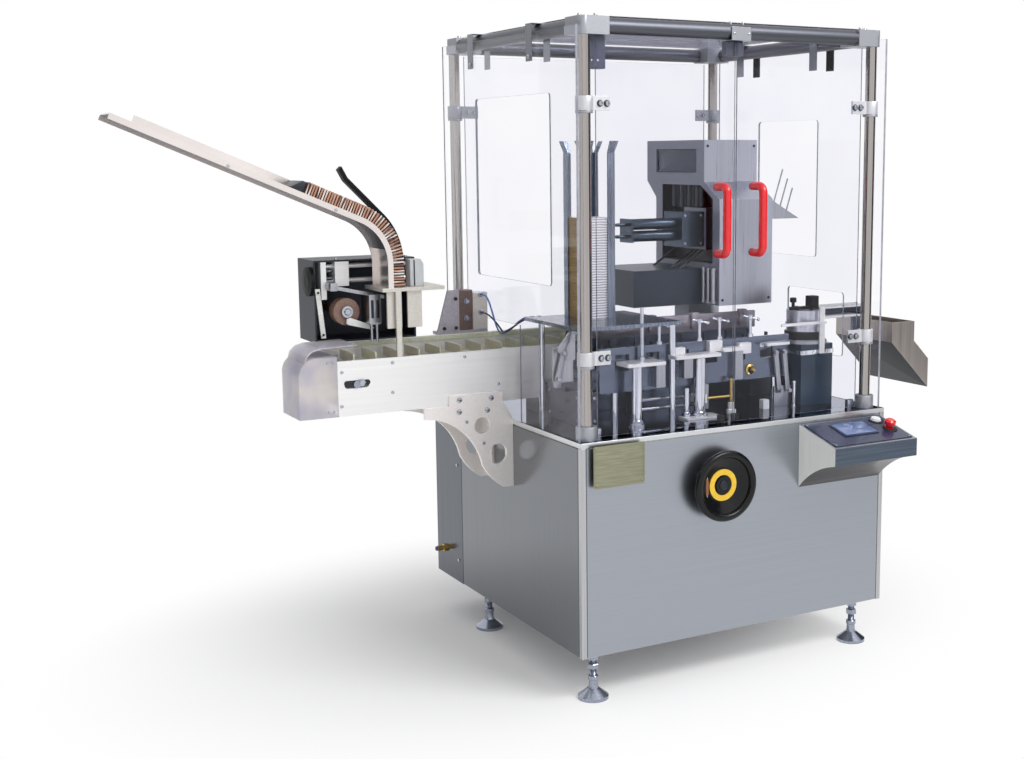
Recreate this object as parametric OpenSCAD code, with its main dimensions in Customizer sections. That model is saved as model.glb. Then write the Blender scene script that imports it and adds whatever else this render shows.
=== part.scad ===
// Automatic cartoner: a stainless cabinet with a clear guard, a bucket conveyor and a blister feeder
// on its left, a leaflet folder and a carton track inside, and a discharge chute on its right.
// Working axes: x = 0 is the cabinet's left face, y = 0 its front face and z = 0 the floor.

/* [Cabinet] */
// Width of the cabinet along its front
cabinet_w = 1225; // [1150:5:1350]
// Depth of the main frame, from the front face to the seam
frame_d = 923; // [890:1:1000]
// Depth of the electrical cabinet behind the seam
rear_d = 240; // [210:5:300]
// Height of the cabinet body under the deck
cabinet_h = 684; // [640:2:740]
// Height of the cabinet's underside above the floor
underside_z = 146; // [110:1:180]
// Thickness of the polished deck plate
deck_t = 16; // [10:1:24]
// Width of the trim on the two front corners
corner_w = 18; // [12:1:28]
// Thickness of the cabinet's skin panels
panel_t = 4; // [2:0.5:8]
// Open joint round a skin panel
panel_gap = 3; // [1:0.5:6]
// Margin round the panel on the cabinet's back
back_margin = 36; // [20:1:70]

/* [Levelling feet] */
// Diameter of a foot pad
pad_d = 100; // [70:1:120]
// Height of a foot pad's cone
pad_h = 34; // [24:1:44]
// Height of the straight rim of a pad
pad_rim = 10; // [6:1:16]
// Diameter of the threaded stem
stem_d = 20; // [14:1:26]
// Width of the lock nut across its corners
nut_d = 38; // [30:1:46]
// Height of the lock nut
nut_h = 16; // [10:1:22]
// Foot axis from the cabinet's left face
foot_left = 58; // [52:1:90]
// Foot axis from the cabinet's right face
foot_right = 103; // [52:1:140]
// Front foot axis behind the front face
foot_front = 34; // [30:1:90]
// Rear foot axis in front of the seam
foot_rear = 103; // [60:1:160]

/* [Guard frame] */
// Diameter of the guard posts
post_d = 38; // [30:1:46]
// Length of the posts from the deck to the corner blocks
post_h = 1250; // [1180:5:1350]
// Left post axis from the cabinet's left face
post_left = 45; // [42:1:56]
// Right post axis from the cabinet's right face
post_right = 57; // [50:1:66]
// Front post axis behind the front face
post_front = 42; // [38:1:60]
// Rear post axis in front of the cabinet's back
post_back = 155; // [100:1:170]
// Diameter of the collar at a post's foot
collar_d = 64; // [54:1:72]
// Height of that collar
collar_h = 46; // [30:1:60]
// Side of a square corner block
block_s = 100; // [90:1:120]
// Height of a corner block
block_h = 55; // [54:1:70]
// Block edge outside the post axis
block_out = 25; // [24:1:40]
// Rounding of a block's outer corner
block_round = 20; // [8:1:24]
// Diameter of the top rails
rail_d = 50; // [40:1:52]
// Thickness of the roof sheet
roof_t = 5; // [3:0.5:8]
// Roof sheet edge inside the post axes
roof_inset = 20; // [5:1:40]

/* [Front doors] */
// Thickness of the clear door sheets
glass_t = 6; // [4:0.5:8]
// Door edge from its hinge post's axis
door_edge = 40; // [34:1:48]
// Gap between the two doors
door_gap = 8; // [6:1:14]
// Door bottom above the deck
door_lift = 6; // [5:1:20]
// Door top under the top rail
door_drop = 8; // [6:1:20]
// Diameter of a hinge clamp round its post
clamp_d = 52; // [50:1:60]
// Height of a hinge clamp
clamp_h = 44; // [30:1:60]
// Reach of a clamp's ear from the post axis
ear_reach = 84; // [74:1:110]
// Thickness of a clamp's ear
ear_t = 8; // [5:1:12]
// Middle of the lower clamps above the deck
clamp_low = 258; // [200:1:320]
// Middle of the upper clamps above the deck
clamp_high = 1045; // [940:1:1110]
// Height of the stop ring under a hinge clamp
ring_h = 8; // [5:1:14]
// Axis of a handle from the middle of the front
handle_x = 71; // [50:1:120]
// Length of a handle between its two legs
handle_l = 218; // [160:1:280]
// Middle of the handles above the deck
handle_z = 677; // [560:1:760]
// Diameter of the handle bar
handle_d = 28; // [20:1:32]
// Bar axis in front of the door sheet
handle_off = 56; // [46:1:80]
// Bend radius of the handle's corners
handle_bend = 22; // [18:1:30]
// Width of the door catch on the front rail
catch_w = 76; // [50:1:110]
// Height of the door catch saddle
catch_h = 43; // [36:1:46]
// Length of the catch magnets under the saddle
magnet_h = 46; // [30:1:60]
// Depth of the catch magnets
magnet_d = 24; // [14:1:30]
// Width of the safety switch by the left door
switch_w = 60; // [40:1:66]
// Height of the safety switch
switch_h = 100; // [70:1:130]
// Depth of the safety switch
switch_d = 36; // [24:1:46]
// Thickness of the door catch's plate and web
catch_t = 3; // [2:0.5:3]
// Width of a catch magnet
magnet_w = 30; // [18:1:36]
// Gap between the closed doors and the magnets
magnet_gap = 6; // [5:1:14]

/* [Side and back guards] */
// Thickness of the side and back sheets
guard_t = 8; // [5:0.5:8.5]
// Side sheet inside the cabinet's face
guard_inset = 4; // [3:0.5:5]
// Side sheet edge beyond a post axis
guard_over = 20; // [10:1:28]
// Start of the left window behind the front posts
left_win_y = 153; // [100:1:220]
// Length of the left window
left_win_l = 555; // [480:1:620]
// Left window's sill above the deck
left_win_z = 476; // [400:1:540]
// Height of the left window
left_win_h = 606; // [500:1:650]
// Left conveyor notch behind the front posts
notch_y = 383; // [340:1:420]
// Length of the conveyor notch
notch_l = 430; // [390:1:470]
// Height of the conveyor notch above the deck
notch_h = 328; // [322:1:380]
// Start of the right upper window behind the front posts
right_win_y = 347; // [300:1:400]
// Length of the right upper window
right_win_l = 366; // [300:1:420]
// Right upper window's sill above the deck
right_win_z = 510; // [460:1:560]
// Height of the right upper window
right_win_h = 504; // [420:1:560]
// Start of the discharge window behind the front posts
out_win_y = 183; // [150:1:187]
// Length of the discharge window
out_win_l = 330; // [320:1:400]
// Discharge window's sill above the deck
out_win_z = 155; // [120:1:165]
// Height of the discharge window
out_win_h = 235; // [200:1:260]
// Corner radius of the windows
win_round = 14; // [6:1:30]
// Width of a hanger strap
strap_w = 44; // [30:1:60]
// Thickness of a hanger strap
strap_t = 2; // [1.5:0.1:2.2]
// Strap length under the middle of the rail
strap_drop = 92; // [70:1:130]
// First strap behind the front posts
strap_first = 288; // [200:1:360]
// Distance between the two straps of a side
strap_pitch = 450; // [360:1:520]

/* [Bucket conveyor] */
// Front face of the conveyor behind the cabinet front
conveyor_y = 490; // [470:1:520]
// Overall width of the conveyor, plate to plate
conveyor_w = 175; // [160:1:190]
// Underside of the conveyor above the deck
conveyor_lift = 66; // [50:1:90]
// Height of the front side plate
front_plate_h = 178; // [165:1:190]
// Height of the rear side plate
rear_plate_h = 218; // [205:1:230]
// Thickness of both side plates
plate_t = 10; // [6:1:14]
// Reach of the plates left of the cabinet
plate_reach = 608; // [560:1:680]
// Right end of the plates from the cabinet's right face
plate_stop = 245; // [220:1:280]
// Reach of the rounded end cover beyond the plates
cover_reach = 127; // [115:1:150]
// Wall of the end cover
cover_t = 4; // [3:0.5:6]
// Rounding of the end cover's upper edge
cover_round = 60; // [40:1:70]
// Height of the end cover
cover_h = 194; // [188:1:215]
// Radius of the chain loop at its outside
loop_r = 65; // [56:1:70]
// Thickness of the chain loop
loop_t = 8; // [5:1:10]
// Width of the chain loop
loop_w = 70; // [50:1:90]
// Height of the loop's axis above the conveyor underside
loop_z = 101; // [96:1:104]
// Left sprocket axis inside the plates' left end
sprocket_in = 63; // [58:1:80]
// Right sprocket axis inside the plates' right end
sprocket_out = 120; // [110:1:150]
// Distance between the bucket walls along the chain
bucket_pitch = 74; // [60:1:90]
// Height of a bucket wall above the chain
bucket_h = 30; // [20:1:34]
// Length of a bucket wall across the conveyor
bucket_w = 132; // [100:1:140]
// Thickness of a bucket wall
bucket_t = 5; // [3:0.5:8]
// Diameter of the sprocket shafts
shaft_d = 24; // [18:1:30]
// Length of the slot that tensions the chain
slot_l = 84; // [60:1:100]
// Height of the tension slot
slot_h = 25; // [19:0.5:31]
// Shaft ends proud of the side plates
shaft_out = 6; // [2:1:14]

/* [Conveyor brackets] */
// Thickness of a cast bracket
bracket_t = 12; // [8:1:18]
// Reach of a bracket left of the cabinet
bracket_l = 320; // [260:1:350]
// Height of a bracket along the cabinet
bracket_h = 332; // [310:1:360]
// Overlap of a bracket with the conveyor plate
bracket_lap = 36; // [24:1:50]
// Height of the bracket's outer nose
nose_h = 36; // [24:1:46]
// Width of the bracket's lower toe
toe_w = 36; // [24:1:50]
// Radius of the bracket's concave underside
sweep_r = 224; // [190:1:300]
// Radius of the bracket's rounded belly
belly_r = 213; // [170:1:300]
// Top of the belly left of the cabinet
belly_x = 135; // [120:1:150]
// Top of the belly under the bracket's top
belly_z = 193; // [180:1:205]
// Fall of the bracket's corner at the cabinet
corner_fall = 62; // [40:1:80]
// Width of the flange on the cabinet
flange_w = 46; // [30:1:60]
// Thickness of that flange
flange_t = 10; // [6:1:14]
// Diameter of the upper lightening hole
upper_hole = 56; // [36:1:60]
// Diameter of the lower lightening hole
lower_hole = 68; // [50:1:72]
// Upper hole left of the cabinet
upper_hole_x = 114; // [90:1:140]
// Upper hole under the bracket's top
upper_hole_z = 111; // [90:1:120]
// Lower hole left of the cabinet
lower_hole_x = 58; // [48:1:66]
// Lower hole under the bracket's top
lower_hole_z = 214; // [190:1:230]
// Left edge of the bolted pad, left of the cabinet
pad_left = 232; // [180:1:250]

/* [Blister feeder] */
// Left side of the feeder housing, left of the cabinet
feeder_left = 622; // [580:1:640]
// Width of the feeder housing
feeder_w = 350; // [320:1:380]
// Depth of the feeder housing
feeder_d = 165; // [140:1:190]
// Height of the feeder housing
feeder_h = 270; // [250:1:300]
// Wall of the feeder housing
feeder_wall = 6; // [4:0.5:10]
// Depth of the stand plate behind the conveyor
stand_t = 12; // [8:1:18]
// Height of the stand plate
stand_h = 100; // [90:1:104]
// Stand plate inside the housing's left side and left of the brackets
stand_in = 20; // [10:1:60]
// Guide plate inside the housing's left side
guide_in = 24; // [14:1:40]
// Thickness of the guide plate
guide_t = 18; // [10:1:24]
// Depth of the guide plate and block
guide_d = 60; // [40:1:80]
// Height of the guide plate
guide_plate_h = 122; // [90:1:140]
// Slide block right of the guide plate
guide_pitch = 48; // [40:1:70]
// Width of the slide block
guide_block_w = 47; // [30:1:60]
// Height of the slide block
guide_block_h = 80; // [60:1:90]
// Diameter of the guide rods
guide_rod_d = 16; // [10:1:20]
// Feed roller axis from the housing's left side
roller_x = 94; // [80:1:110]
// Feed roller axis above the housing's floor
roller_z = 103; // [90:1:115]
// Feed roller's front in front of the housing
roller_out = 38; // [24:1:50]
// Diameter of the roller's hub and shaft
hub_d = 30; // [20:1:40]
// Hub proud of the roller
hub_out = 8; // [4:1:14]
// Knob axis behind the housing's front
knob_y = 35; // [30:1:60]
// Knob axis above the housing's floor
knob_z = 200; // [150:1:220]
// Base plate inside the housing's left side
base_in = 172; // [140:1:185]
// Base plate right of the sliding face
base_out = 170; // [140:1:190]
// Width of a hanging cheek
cheek_w = 50; // [36:1:60]
// Distance between the two cheeks
cheek_pitch = 70; // [60:1:84]
// Height of a hanging cheek
cheek_h = 120; // [90:1:140]
// Thickness of cheeks and tray sheets
cheek_t = 8; // [5:1:10]
// Width of the bar that props the base plate
prop_w = 18; // [12:1:26]
// Height of the magazine base plate above the housing's floor
base_rise = 172; // [160:1:190]
// Thickness of the magazine base plate
base_t = 12; // [8:1:16]
// Diameter of the feed roller
roller_d = 88; // [70:1:96]
// Width of the feed roller
roller_w = 46; // [30:1:60]
// Diameter of the hand knob on the housing's side
knob_d = 95; // [80:1:104]
// Depth of the hand knob
knob_l = 12; // [8:1:20]
// Foot of the chute's sliding face, left of the cabinet
slide_left = 405; // [380:1:430]
// Straight foot of the chute under its bend
chute_foot = 76; // [60:1:90]
// Slope of the blister chute, in degrees
chute_slope = 23.0; // [18:0.1:26]
// Radius of the chute's bend on its sliding face
chute_r = 167; // [150:1:190]
// Length of the chute's straight run
chute_l = 812; // [700:1:860]
// Width of the chute
chute_w = 150; // [130:1:158]
// Depth of the chute's side legs
chute_leg = 18; // [12:1:30]
// Sheet thickness of the chute
chute_t = 4; // [2.5:0.5:6]
// Height of the guide on the chute's far side
guide_h = 36; // [20:1:44]
// Length of the run's end without that guide
guide_cut = 90; // [40:1:140]
// Height of a blister card on the sliding face
card_h = 38; // [30:1:44]
// Thickness of a blister pack
card_t = 5; // [3:0.5:6]
// Distance between blister packs
card_pitch = 9; // [7.5:0.5:12]
// Length of the stack along the straight run
stack_run = 200; // [60:5:240]
// Thickness of the hold-down bar
hold_t = 15; // [10:1:18]
// Width of the hold-down bar
hold_w = 26; // [18:1:40]
// Length of the hold-down's straight tail
hold_tail = 165; // [120:1:200]
// Angle of the hold-down's arc, in degrees
hold_turn = 45; // [38:1:52]
// Gap between the stack and the hold-down bar
hold_gap = 7; // [4:1:9]
// Outward turn of the bar's raised tip, in degrees
hold_kick = 17; // [10:1:35]
// Length of the raised tip
hold_tip = 40; // [30:1:60]

/* [Pneumatic bracket] */
// Left edge of the valve bracket, left of the cabinet
valve_left = 196; // [170:1:240]
// Width of the valve bracket's gusset
gusset_w = 84; // [60:1:96]
// Height of the valve bracket
gusset_h = 150; // [120:1:170]
// Width of the valve block
valve_w = 50; // [36:1:60]
// Width of the cylinder block beside it
cylinder_w = 56; // [40:1:60]
// Depth of the valve bracket's strip and blocks
valve_d = 40; // [28:1:50]
// Height of the valve block
valve_h = 138; // [110:1:150]

/* [Carton magazine and track] */
// Left side of the carton stack from the cabinet's left face
carton_x = 240; // [200:1:280]
// Width of a flat carton in the stack
carton_w = 106; // [80:1:130]
// Depth of a flat carton in the stack
carton_d = 130; // [100:1:150]
// Front of the carton stack behind the cabinet front
carton_y = 396; // [380:1:410]
// Height of the carton stack
carton_h = 341; // [260:1:420]
// Height of the magazine rails above the stack's foot
rail_rise = 560; // [480:1:640]
// Flange of a magazine rail
rail_leg = 24; // [16:1:30]
// Thickness of a magazine rail
rail_t = 4; // [3:0.5:6]
// Length of a rail's splayed tip
tip_l = 44; // [30:1:60]
// Splay of the rail tips, in degrees
tip_splay = 24; // [10:1:35]
// Left end of the carton track from the cabinet's left face
track_x = 190; // [160:1:210]
// Right end of the carton track from the cabinet's right face
track_stop = 262; // [252:1:300]
// Front of the carton track behind the cabinet front
track_y = 216; // [200:1:240]
// Width of the carton track
track_w = 246; // [220:1:250]
// Underside of the track's side plates above the deck
track_lift = 108; // [80:1:140]
// Height of the track's side plates
track_h = 150; // [120:1:170]
// Thickness of the track's side plates
track_t = 12; // [8:1:16]
// Track bed under the top of the side plates
bed_drop = 42; // [30:1:60]
// Thickness of the track bed
bed_t = 10; // [6:1:14]
// Width of a square window in the track's side plate
window_s = 54; // [36:1:60]
// Distance between those windows
window_pitch = 118; // [90:1:140]
// Distance between the carton lugs
lug_pitch = 96; // [70:1:130]
// Height of a carton lug
lug_h = 46; // [30:1:56]
// Diameter of the chrome columns
column_d = 22; // [16:1:28]
// Height of the magazine table above the track
table_rise = 79; // [66:1:100]
// Thickness of the magazine table
table_t = 12; // [8:1:16]
// Magazine table behind the carton stack
table_margin = 34; // [26:1:60]
// Gap round the carton stack
carton_gap = 2; // [1:0.5:4]
// Window edge under the top of the side plates
window_drop = 24; // [14:1:34]
// Thickness of a carton lug
lug_t = 6; // [4:1:10]
// Width of a carton lug
lug_w = 14; // [8:1:20]
// Distance between the two lug rows
lug_row = 110; // [70:1:140]
// Outer columns inside the track's ends
column_in = 60; // [40:1:90]
// Gap between the table's columns and the track
column_gap = 3; // [2:1:8]
// Table's right columns right of the carton stack
column_right = 118; // [90:1:140]

/* [Leaflet folder] */
// Left side of the folder from the cabinet's right face
folder_x = 435; // [410:1:450]
// Width of the folder housing
folder_w = 232; // [200:1:240]
// Front of the folder's lower part behind the cabinet front
folder_y = 400; // [380:1:420]
// Front of its upper part behind the lower front
folder_step = 100; // [60:1:110]
// Depth of the folder's lower part
folder_low_d = 429; // [380:1:440]
// Depth of the folder's upper part
folder_up_d = 394; // [340:1:400]
// Underside of the folder above the deck
folder_lift = 350; // [335:1:380]
// Height of the folder's lower part
folder_low_h = 380; // [340:1:400]
// Height of the folder's sloping shoulder
shoulder_h = 62; // [40:1:80]
// Height of the folder's upper part
folder_up_h = 150; // [120:1:180]
// Depth of the folder's side recesses
recess_d = 60; // [30:1:90]
// Thickness of the folder's front cover
cover_sheet = 4; // [2:0.5:6]
// Length of the folding unit beside the folder
unit_l = 297; // [240:1:310]
// Height of the folding unit
unit_h = 131; // [100:1:150]
// Depth of the folding unit
unit_d = 300; // [200:1:320]
// Diameter of the folding rollers
fold_roller_d = 40; // [28:1:46]
// Length of the folding rollers
fold_roller_l = 200; // [150:1:210]
// Length of the roller gearbox
gear_l = 96; // [70:1:100]
// Length of the leaflet tray
tray_l = 150; // [110:1:160]
// Drop of the leaflet tray over its length
tray_h = 84; // [60:1:110]
// Side of the folder's column
folder_col = 100; // [70:1:120]
// Front of that column behind the cabinet front
folder_col_y = 700; // [690:1:710]
// Window edge behind the upper front
pane_in = 53; // [40:1:70]
// Length of the leaflet window
pane_l = 276; // [220:1:290]
// Window edge above and below
pane_lift = 32; // [20:1:40]
// Wall left round the roller recess
recess_in = 45; // [40:1:60]
// Recess floor under the shoulder
recess_low = 230; // [200:1:240]
// Edge over the recess and round its pier
recess_lip = 12; // [8:1:16]
// Tray's root under the shoulder
recess_h = 96; // [70:1:110]
// Folding rollers' middle under that root
fold_drop = 12; // [5:1:20]
// Depth of the roller gearbox
gear_d = 120; // [90:1:140]
// Height of the roller gearbox
gear_h = 126; // [100:1:140]
// Thickness of the rollers' end plate
fold_end_t = 10; // [6:1:14]
// Length of the rollers' free shaft ends
fold_shaft_l = 40; // [20:1:50]
// Diameter of the free shaft ends
fold_shaft_d = 12; // [8:1:16]
// Tray's foot above the roller recess
tray_drop = 20; // [0:1:40]
// Front of the tray behind the cabinet front
tray_y = 440; // [420:1:460]
// Width of the tray
tray_w = 170; // [120:1:200]
// First guide rod right of the folder
tray_rod_in = 18; // [12:1:30]
// Distance between the guide rods
tray_rod_pitch = 34; // [24:1:40]
// Lean of the guide rods, in degrees
tray_rod_lean = 18; // [8:1:22]
// Diameter of the guide rods
tray_rod_d = 5; // [4:0.5:7]
// Length of the first guide rod
tray_rod_l = 190; // [150:1:220]
// Shortening from one guide rod to the next
tray_rod_step = 36; // [20:1:50]

/* [Discharge] */
// Left side of the smoked box from the cabinet's right face
smoke_x = 240; // [225:1:250]
// Width of the smoked box
smoke_w = 140; // [110:1:150]
// Depth of the smoked box
smoke_d = 150; // [110:1:160]
// Height of the smoked box
smoke_h = 220; // [180:1:240]
// Diameter of the pressing drum
drum_d = 132; // [100:1:138]
// Height of the pressing drum
drum_h = 118; // [90:1:130]
// Height of the drum's bright ring
drum_ring = 14; // [8:1:20]
// Front of the smoked box behind the cabinet front
smoke_y = 170; // [150:1:180]
// Left end of the discharge belt from the cabinet's right face
belt_in = 70; // [60:1:90]
// Right end of the discharge belt before the chute
belt_stop = 30; // [26:1:50]
// Distance between the belt's ribs
rib_pitch = 16; // [10:1:24]
// Discharge chute from the cabinet's right face
out_x = 232; // [200:1:280]
// Width of the chute's mouth
out_w = 110; // [90:1:130]
// Depth of the chute behind its front cheek
out_d = 330; // [280:1:360]
// Front of the chute behind the cabinet front
out_y = 230; // [200:1:240]
// Top of the chute above the deck
out_top = 264; // [240:1:280]
// Straight part of the chute under its mouth
out_drop = 75; // [50:1:100]
// Reach of the chute's sloping part
out_reach = 73; // [50:1:100]
// Sheet thickness of the chute
out_t = 4; // [2.5:0.5:6]
// Radius of the discharge belt loop
belt_r = 20; // [14:1:24]
// Width of the discharge belt
belt_w = 64; // [40:1:90]
// Thickness of the discharge belt
belt_t = 5; // [3:0.5:7]
// Axis of the discharge belt above the deck
belt_z = 302; // [295:1:320]
// Middle of the discharge belt behind the cabinet front
belt_y = 395; // [370:1:410]
// Thickness of the discharge arm
arm_t = 14; // [10:1:20]
// Height of the discharge arm
arm_h = 44; // [36:1:56]

/* [Operator panel] */
// Left side of the operator box from the cabinet's left face
box_x = 849; // [820:1:870]
// Width of the operator box
box_w = 356; // [300:1:372]
// Reach of the operator box in front of the cabinet
box_d = 195; // [160:1:230]
// Back edge of the sloping top below the deck
box_top = 24; // [18:1:50]
// Fall of the top from back to front
box_fall = 50; // [30:1:70]
// Height of the front lip
lip_h = 60; // [40:1:80]
// Height of the box on the cabinet's front
box_h = 218; // [180:1:240]
// Radius of the box's swept underside
box_sweep = 350; // [250:1:420]
// Margin round the control plate
plate_margin = 12; // [8:1:24]
// Thickness of the control plate
control_t = 3; // [2:0.5:5]
// Width of the touch screen
screen_w = 150; // [110:1:170]
// Depth of the touch screen
screen_d = 98; // [80:1:120]
// Screen from the box's left side
screen_in = 96; // [60:1:130]
// Screen from the back edge of the top
screen_back = 36; // [24:1:50]
// Height of the screen's bezel
bezel_t = 3; // [2:0.5:5]
// Corner radius of the bezel
bezel_round = 6; // [3:1:12]
// Diameter of the start button
start_d = 32; // [22:1:40]
// Height of the start button
start_h = 10; // [6:1:14]
// Start button from the box's left side
start_x = 300; // [275:1:315]
// Start button from the back edge of the top
start_back = 44; // [34:1:56]
// Diameter of the stop mushroom
stop_d = 40; // [30:1:48]
// Diameter of the stop mushroom's collar
stop_collar = 32; // [26:1:40]
// Height of the stop mushroom on its stem
stop_h = 34; // [24:1:40]
// Stop mushroom from the box's left side
stop_x = 304; // [275:1:315]
// Stop mushroom from the back edge of the top
stop_back = 112; // [100:1:140]

/* [Handwheel] */
// Diameter of the handwheel
wheel_d = 238; // [210:1:260]
// Wheel axis from the cabinet's left face
wheel_x = 518; // [440:1:560]
// Wheel axis below the deck
wheel_z = 188; // [165:1:230]
// Diameter of the wheel's rim section
rim_d = 26; // [20:1:32]
// Wheel's rim in front of the front panel
wheel_off = 44; // [34:1:60]
// Diameter of the bearing boss
boss_d = 64; // [50:1:76]
// Length of the bearing boss
boss_l = 16; // [10:1:20]
// Diameter of the wheel's shaft
wheel_shaft = 22; // [16:1:28]
// Outer diameter of the yellow ring
ring_out = 106; // [90:1:108]
// Inner diameter of the yellow ring
ring_in = 68; // [62:1:80]
// Thickness of the yellow ring
ring_t = 4; // [2.5:0.5:6]
// Gap between the wheel's hub and the boss
wheel_gap = 2; // [1:0.5:4]
// Thickness of the wheel's web
web_t = 6; // [4:0.5:10]
// Diameter of the dish's flat floor
dish_d = 116; // [110:1:126]
// Diameter of the hub's cap
hub_cap_d = 60; // [40:1:61]
// Length of the hub's cap
hub_cap_l = 8; // [5:1:14]

/* [Fits] */
// Clearance of a fixed ring or shaft in its seat
seat_gap = 0.2; // [0.1:0.05:0.4]
// Running clearance of a hinge or shaft
run_gap = 0.3; // [0.1:0.05:0.5]

/* [Hidden] */
$fn = 48;
eps = 1;

deck_z = underside_z + cabinet_h + deck_t;
cabinet_d = frame_d + rear_d;
post_x = [post_left, cabinet_w - post_right];
post_y = [post_front, cabinet_d - post_back];
block_z = deck_z + post_h;
rail_z = block_z + block_h / 2;
front_mid = (post_x[0] + post_x[1]) / 2;
conveyor_z = deck_z + conveyor_lift;
conveyor_mid = conveyor_y + conveyor_w / 2;
plate_end = cabinet_w - plate_stop;
chain_z = conveyor_z + loop_z;
chain_x = [sprocket_in - plate_reach, plate_end - sprocket_out];
feeder_y = conveyor_y + conveyor_w - plate_t;
feeder_z = conveyor_z + rear_plate_h;
base_top = feeder_z + base_rise + base_t;
chute_y = feeder_y - chute_w;
bend_x = -slide_left - chute_r;
bend_z = base_top + chute_foot;
bend_turn = 90 - chute_slope;
x_min = bend_x + chute_r * cos(bend_turn) - chute_l * cos(chute_slope) - chute_leg * cos(bend_turn);
out_left = cabinet_w + out_x;
x_max = out_left + out_w + out_reach;
y_min = -box_d;
y_max = cabinet_d;
magnet_y = post_y[0] + glass_t + magnet_gap;
track_z = deck_z + track_lift;
track_end = cabinet_w - track_stop;
table_z = track_z + track_h + table_rise;
column_x = [track_x - column_d / 2 - column_gap - column_in, carton_x + carton_w + column_right];
column_y = [track_y - column_d / 2 - column_gap, track_y + track_w + column_d / 2 + column_gap];
folder_left = cabinet_w - folder_x;
folder_z = deck_z + folder_lift;
shoulder_z = folder_z + folder_low_h;
upper_y = folder_y + folder_step;
folder_top = shoulder_z + shoulder_h + folder_up_h;
recess_z = shoulder_z - recess_h;
gear_z = recess_z - fold_drop;
smoke_left = cabinet_w - smoke_x;
belt_left = cabinet_w - belt_in;
belt_right = out_left - belt_stop;

// Moves the machine so that its floor box is centred on the origin
module machine() {
    translate([-(x_min + x_max) / 2, -(y_min + y_max) / 2, 0]) children();
}

// Box from one corner to the opposite one
module slab(low, high) {
    translate(low) cube(high - low);
}

// Plate of a profile drawn in x and z, from y0 towards the back
module xz_plate(y0, t) {
    translate([0, y0 + t, 0]) rotate([90, 0, 0]) linear_extrude(t) children();
}

// Plate of a profile drawn in y and z, from x0 towards the right
module yz_plate(x0, t) {
    translate([x0, 0, 0]) rotate([90, 0, 90]) linear_extrude(t) children();
}

// Round bar along y
module y_bar(x, y0, z, l, d) {
    translate([x, y0, z]) rotate([-90, 0, 0]) cylinder(d = d, h = l);
}

// Round bar along x
module x_bar(x0, y, z, l, d) {
    translate([x0, y, z]) rotate([0, 90, 0]) cylinder(d = d, h = l);
}

// Rectangle with rounded corners
module soft_rect(size, r) {
    translate([r, 0]) square([size[0] - 2 * r, size[1]]);
    translate([0, r]) square([size[0], size[1] - 2 * r]);
    for (x = [r, size[0] - r], y = [r, size[1] - r]) translate([x, y]) circle(r);
}

// Long loop of two half circles and two straights
module loop_shape(xs, z, r) {
    for (x = xs) translate([x, z]) circle(r);
    translate([xs[0], z - r]) square([xs[1] - xs[0], 2 * r]);
}

// One child at each guard post
module at_posts() {
    for (x = post_x, y = post_y) translate([x, y, 0]) children();
}

// Centre of the circle of radius r through p and q, on the side that lies to the left of p to q
function arc_centre(p, q, r) =
    let (c = q - p, l = norm(c), n = [-c[1], c[0]] / l)
    (p + q) / 2 + n * sqrt(r * r - l * l / 4);

module cabinet_core() {
    color("lightgray") machine() {
        slab([panel_t, panel_t, underside_z], [cabinet_w - panel_t, frame_d, deck_z - deck_t]);
        for (x = [0, cabinet_w - corner_w])
            slab([x, 0, underside_z], [x + corner_w, corner_w, deck_z - deck_t]);
    }
}

// Sheet that carries the handwheel's bearing boss
module front_panel() {
    color("silver") machine() difference() {
        union() {
            slab([corner_w + panel_gap, 0, underside_z + panel_gap],
                [cabinet_w - corner_w - panel_gap, panel_t, deck_z - deck_t - panel_gap]);
            y_bar(wheel_x, -boss_l, deck_z - wheel_z, boss_l + eps, boss_d);
        }
        y_bar(wheel_x, -boss_l - eps, deck_z - wheel_z, boss_l + eps, wheel_shaft + 2 * run_gap);
    }
}

module side_panels() {
    color("gainsboro") machine() for (x = [0, cabinet_w - panel_t])
        slab([x, corner_w + panel_gap, underside_z + panel_gap],
            [x + panel_t, frame_d - panel_gap, deck_z - deck_t - panel_gap]);
}

module rear_cabinet() {
    color("gainsboro") machine() {
        slab([0, frame_d, underside_z], [cabinet_w, cabinet_d - panel_t, deck_z - deck_t]);
        slab([back_margin, cabinet_d - panel_t - eps, underside_z + back_margin],
            [cabinet_w - back_margin, cabinet_d, deck_z - deck_t - back_margin]);
    }
}

module deck_plate() {
    color("slategray") machine() slab([0, 0, deck_z - deck_t], [cabinet_w, cabinet_d, deck_z]);
}

// Conical pads on threaded stems, each with its lock nut under the cabinet
module levelling_feet() {
    color("silver") machine()
        for (x = [foot_left, cabinet_w - foot_right], y = [foot_front, frame_d - foot_rear])
            translate([x, y, 0]) {
                rotate_extrude() polygon([[0, 0], [pad_d / 2, 0], [pad_d / 2, pad_rim],
                    [nut_d / 2, pad_h], [0, pad_h]]);
                cylinder(d = stem_d, h = underside_z);
                translate([0, 0, underside_z - nut_h]) cylinder(d = nut_d, h = nut_h, $fn = 6);
            }
}

module guard_posts() {
    color("lightsteelblue") machine() at_posts()
        translate([0, 0, deck_z]) cylinder(d = post_d, h = post_h);
}

// Foot collars, and the stop rings that carry the clamps
module post_collars() {
    color("silver") machine() at_posts() {
        translate([0, 0, deck_z]) tube(collar_d, collar_h);
        for (z = [clamp_low, clamp_high])
            translate([0, 0, deck_z + z - clamp_h / 2 - run_gap - ring_h]) tube(clamp_d, ring_h);
    }
}

// Ring that is seated on a post
module tube(d, h) {
    difference() {
        cylinder(d = d, h = h);
        translate([0, 0, -eps]) cylinder(d = post_d + 2 * seat_gap, h = h + 2 * eps);
    }
}

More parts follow.
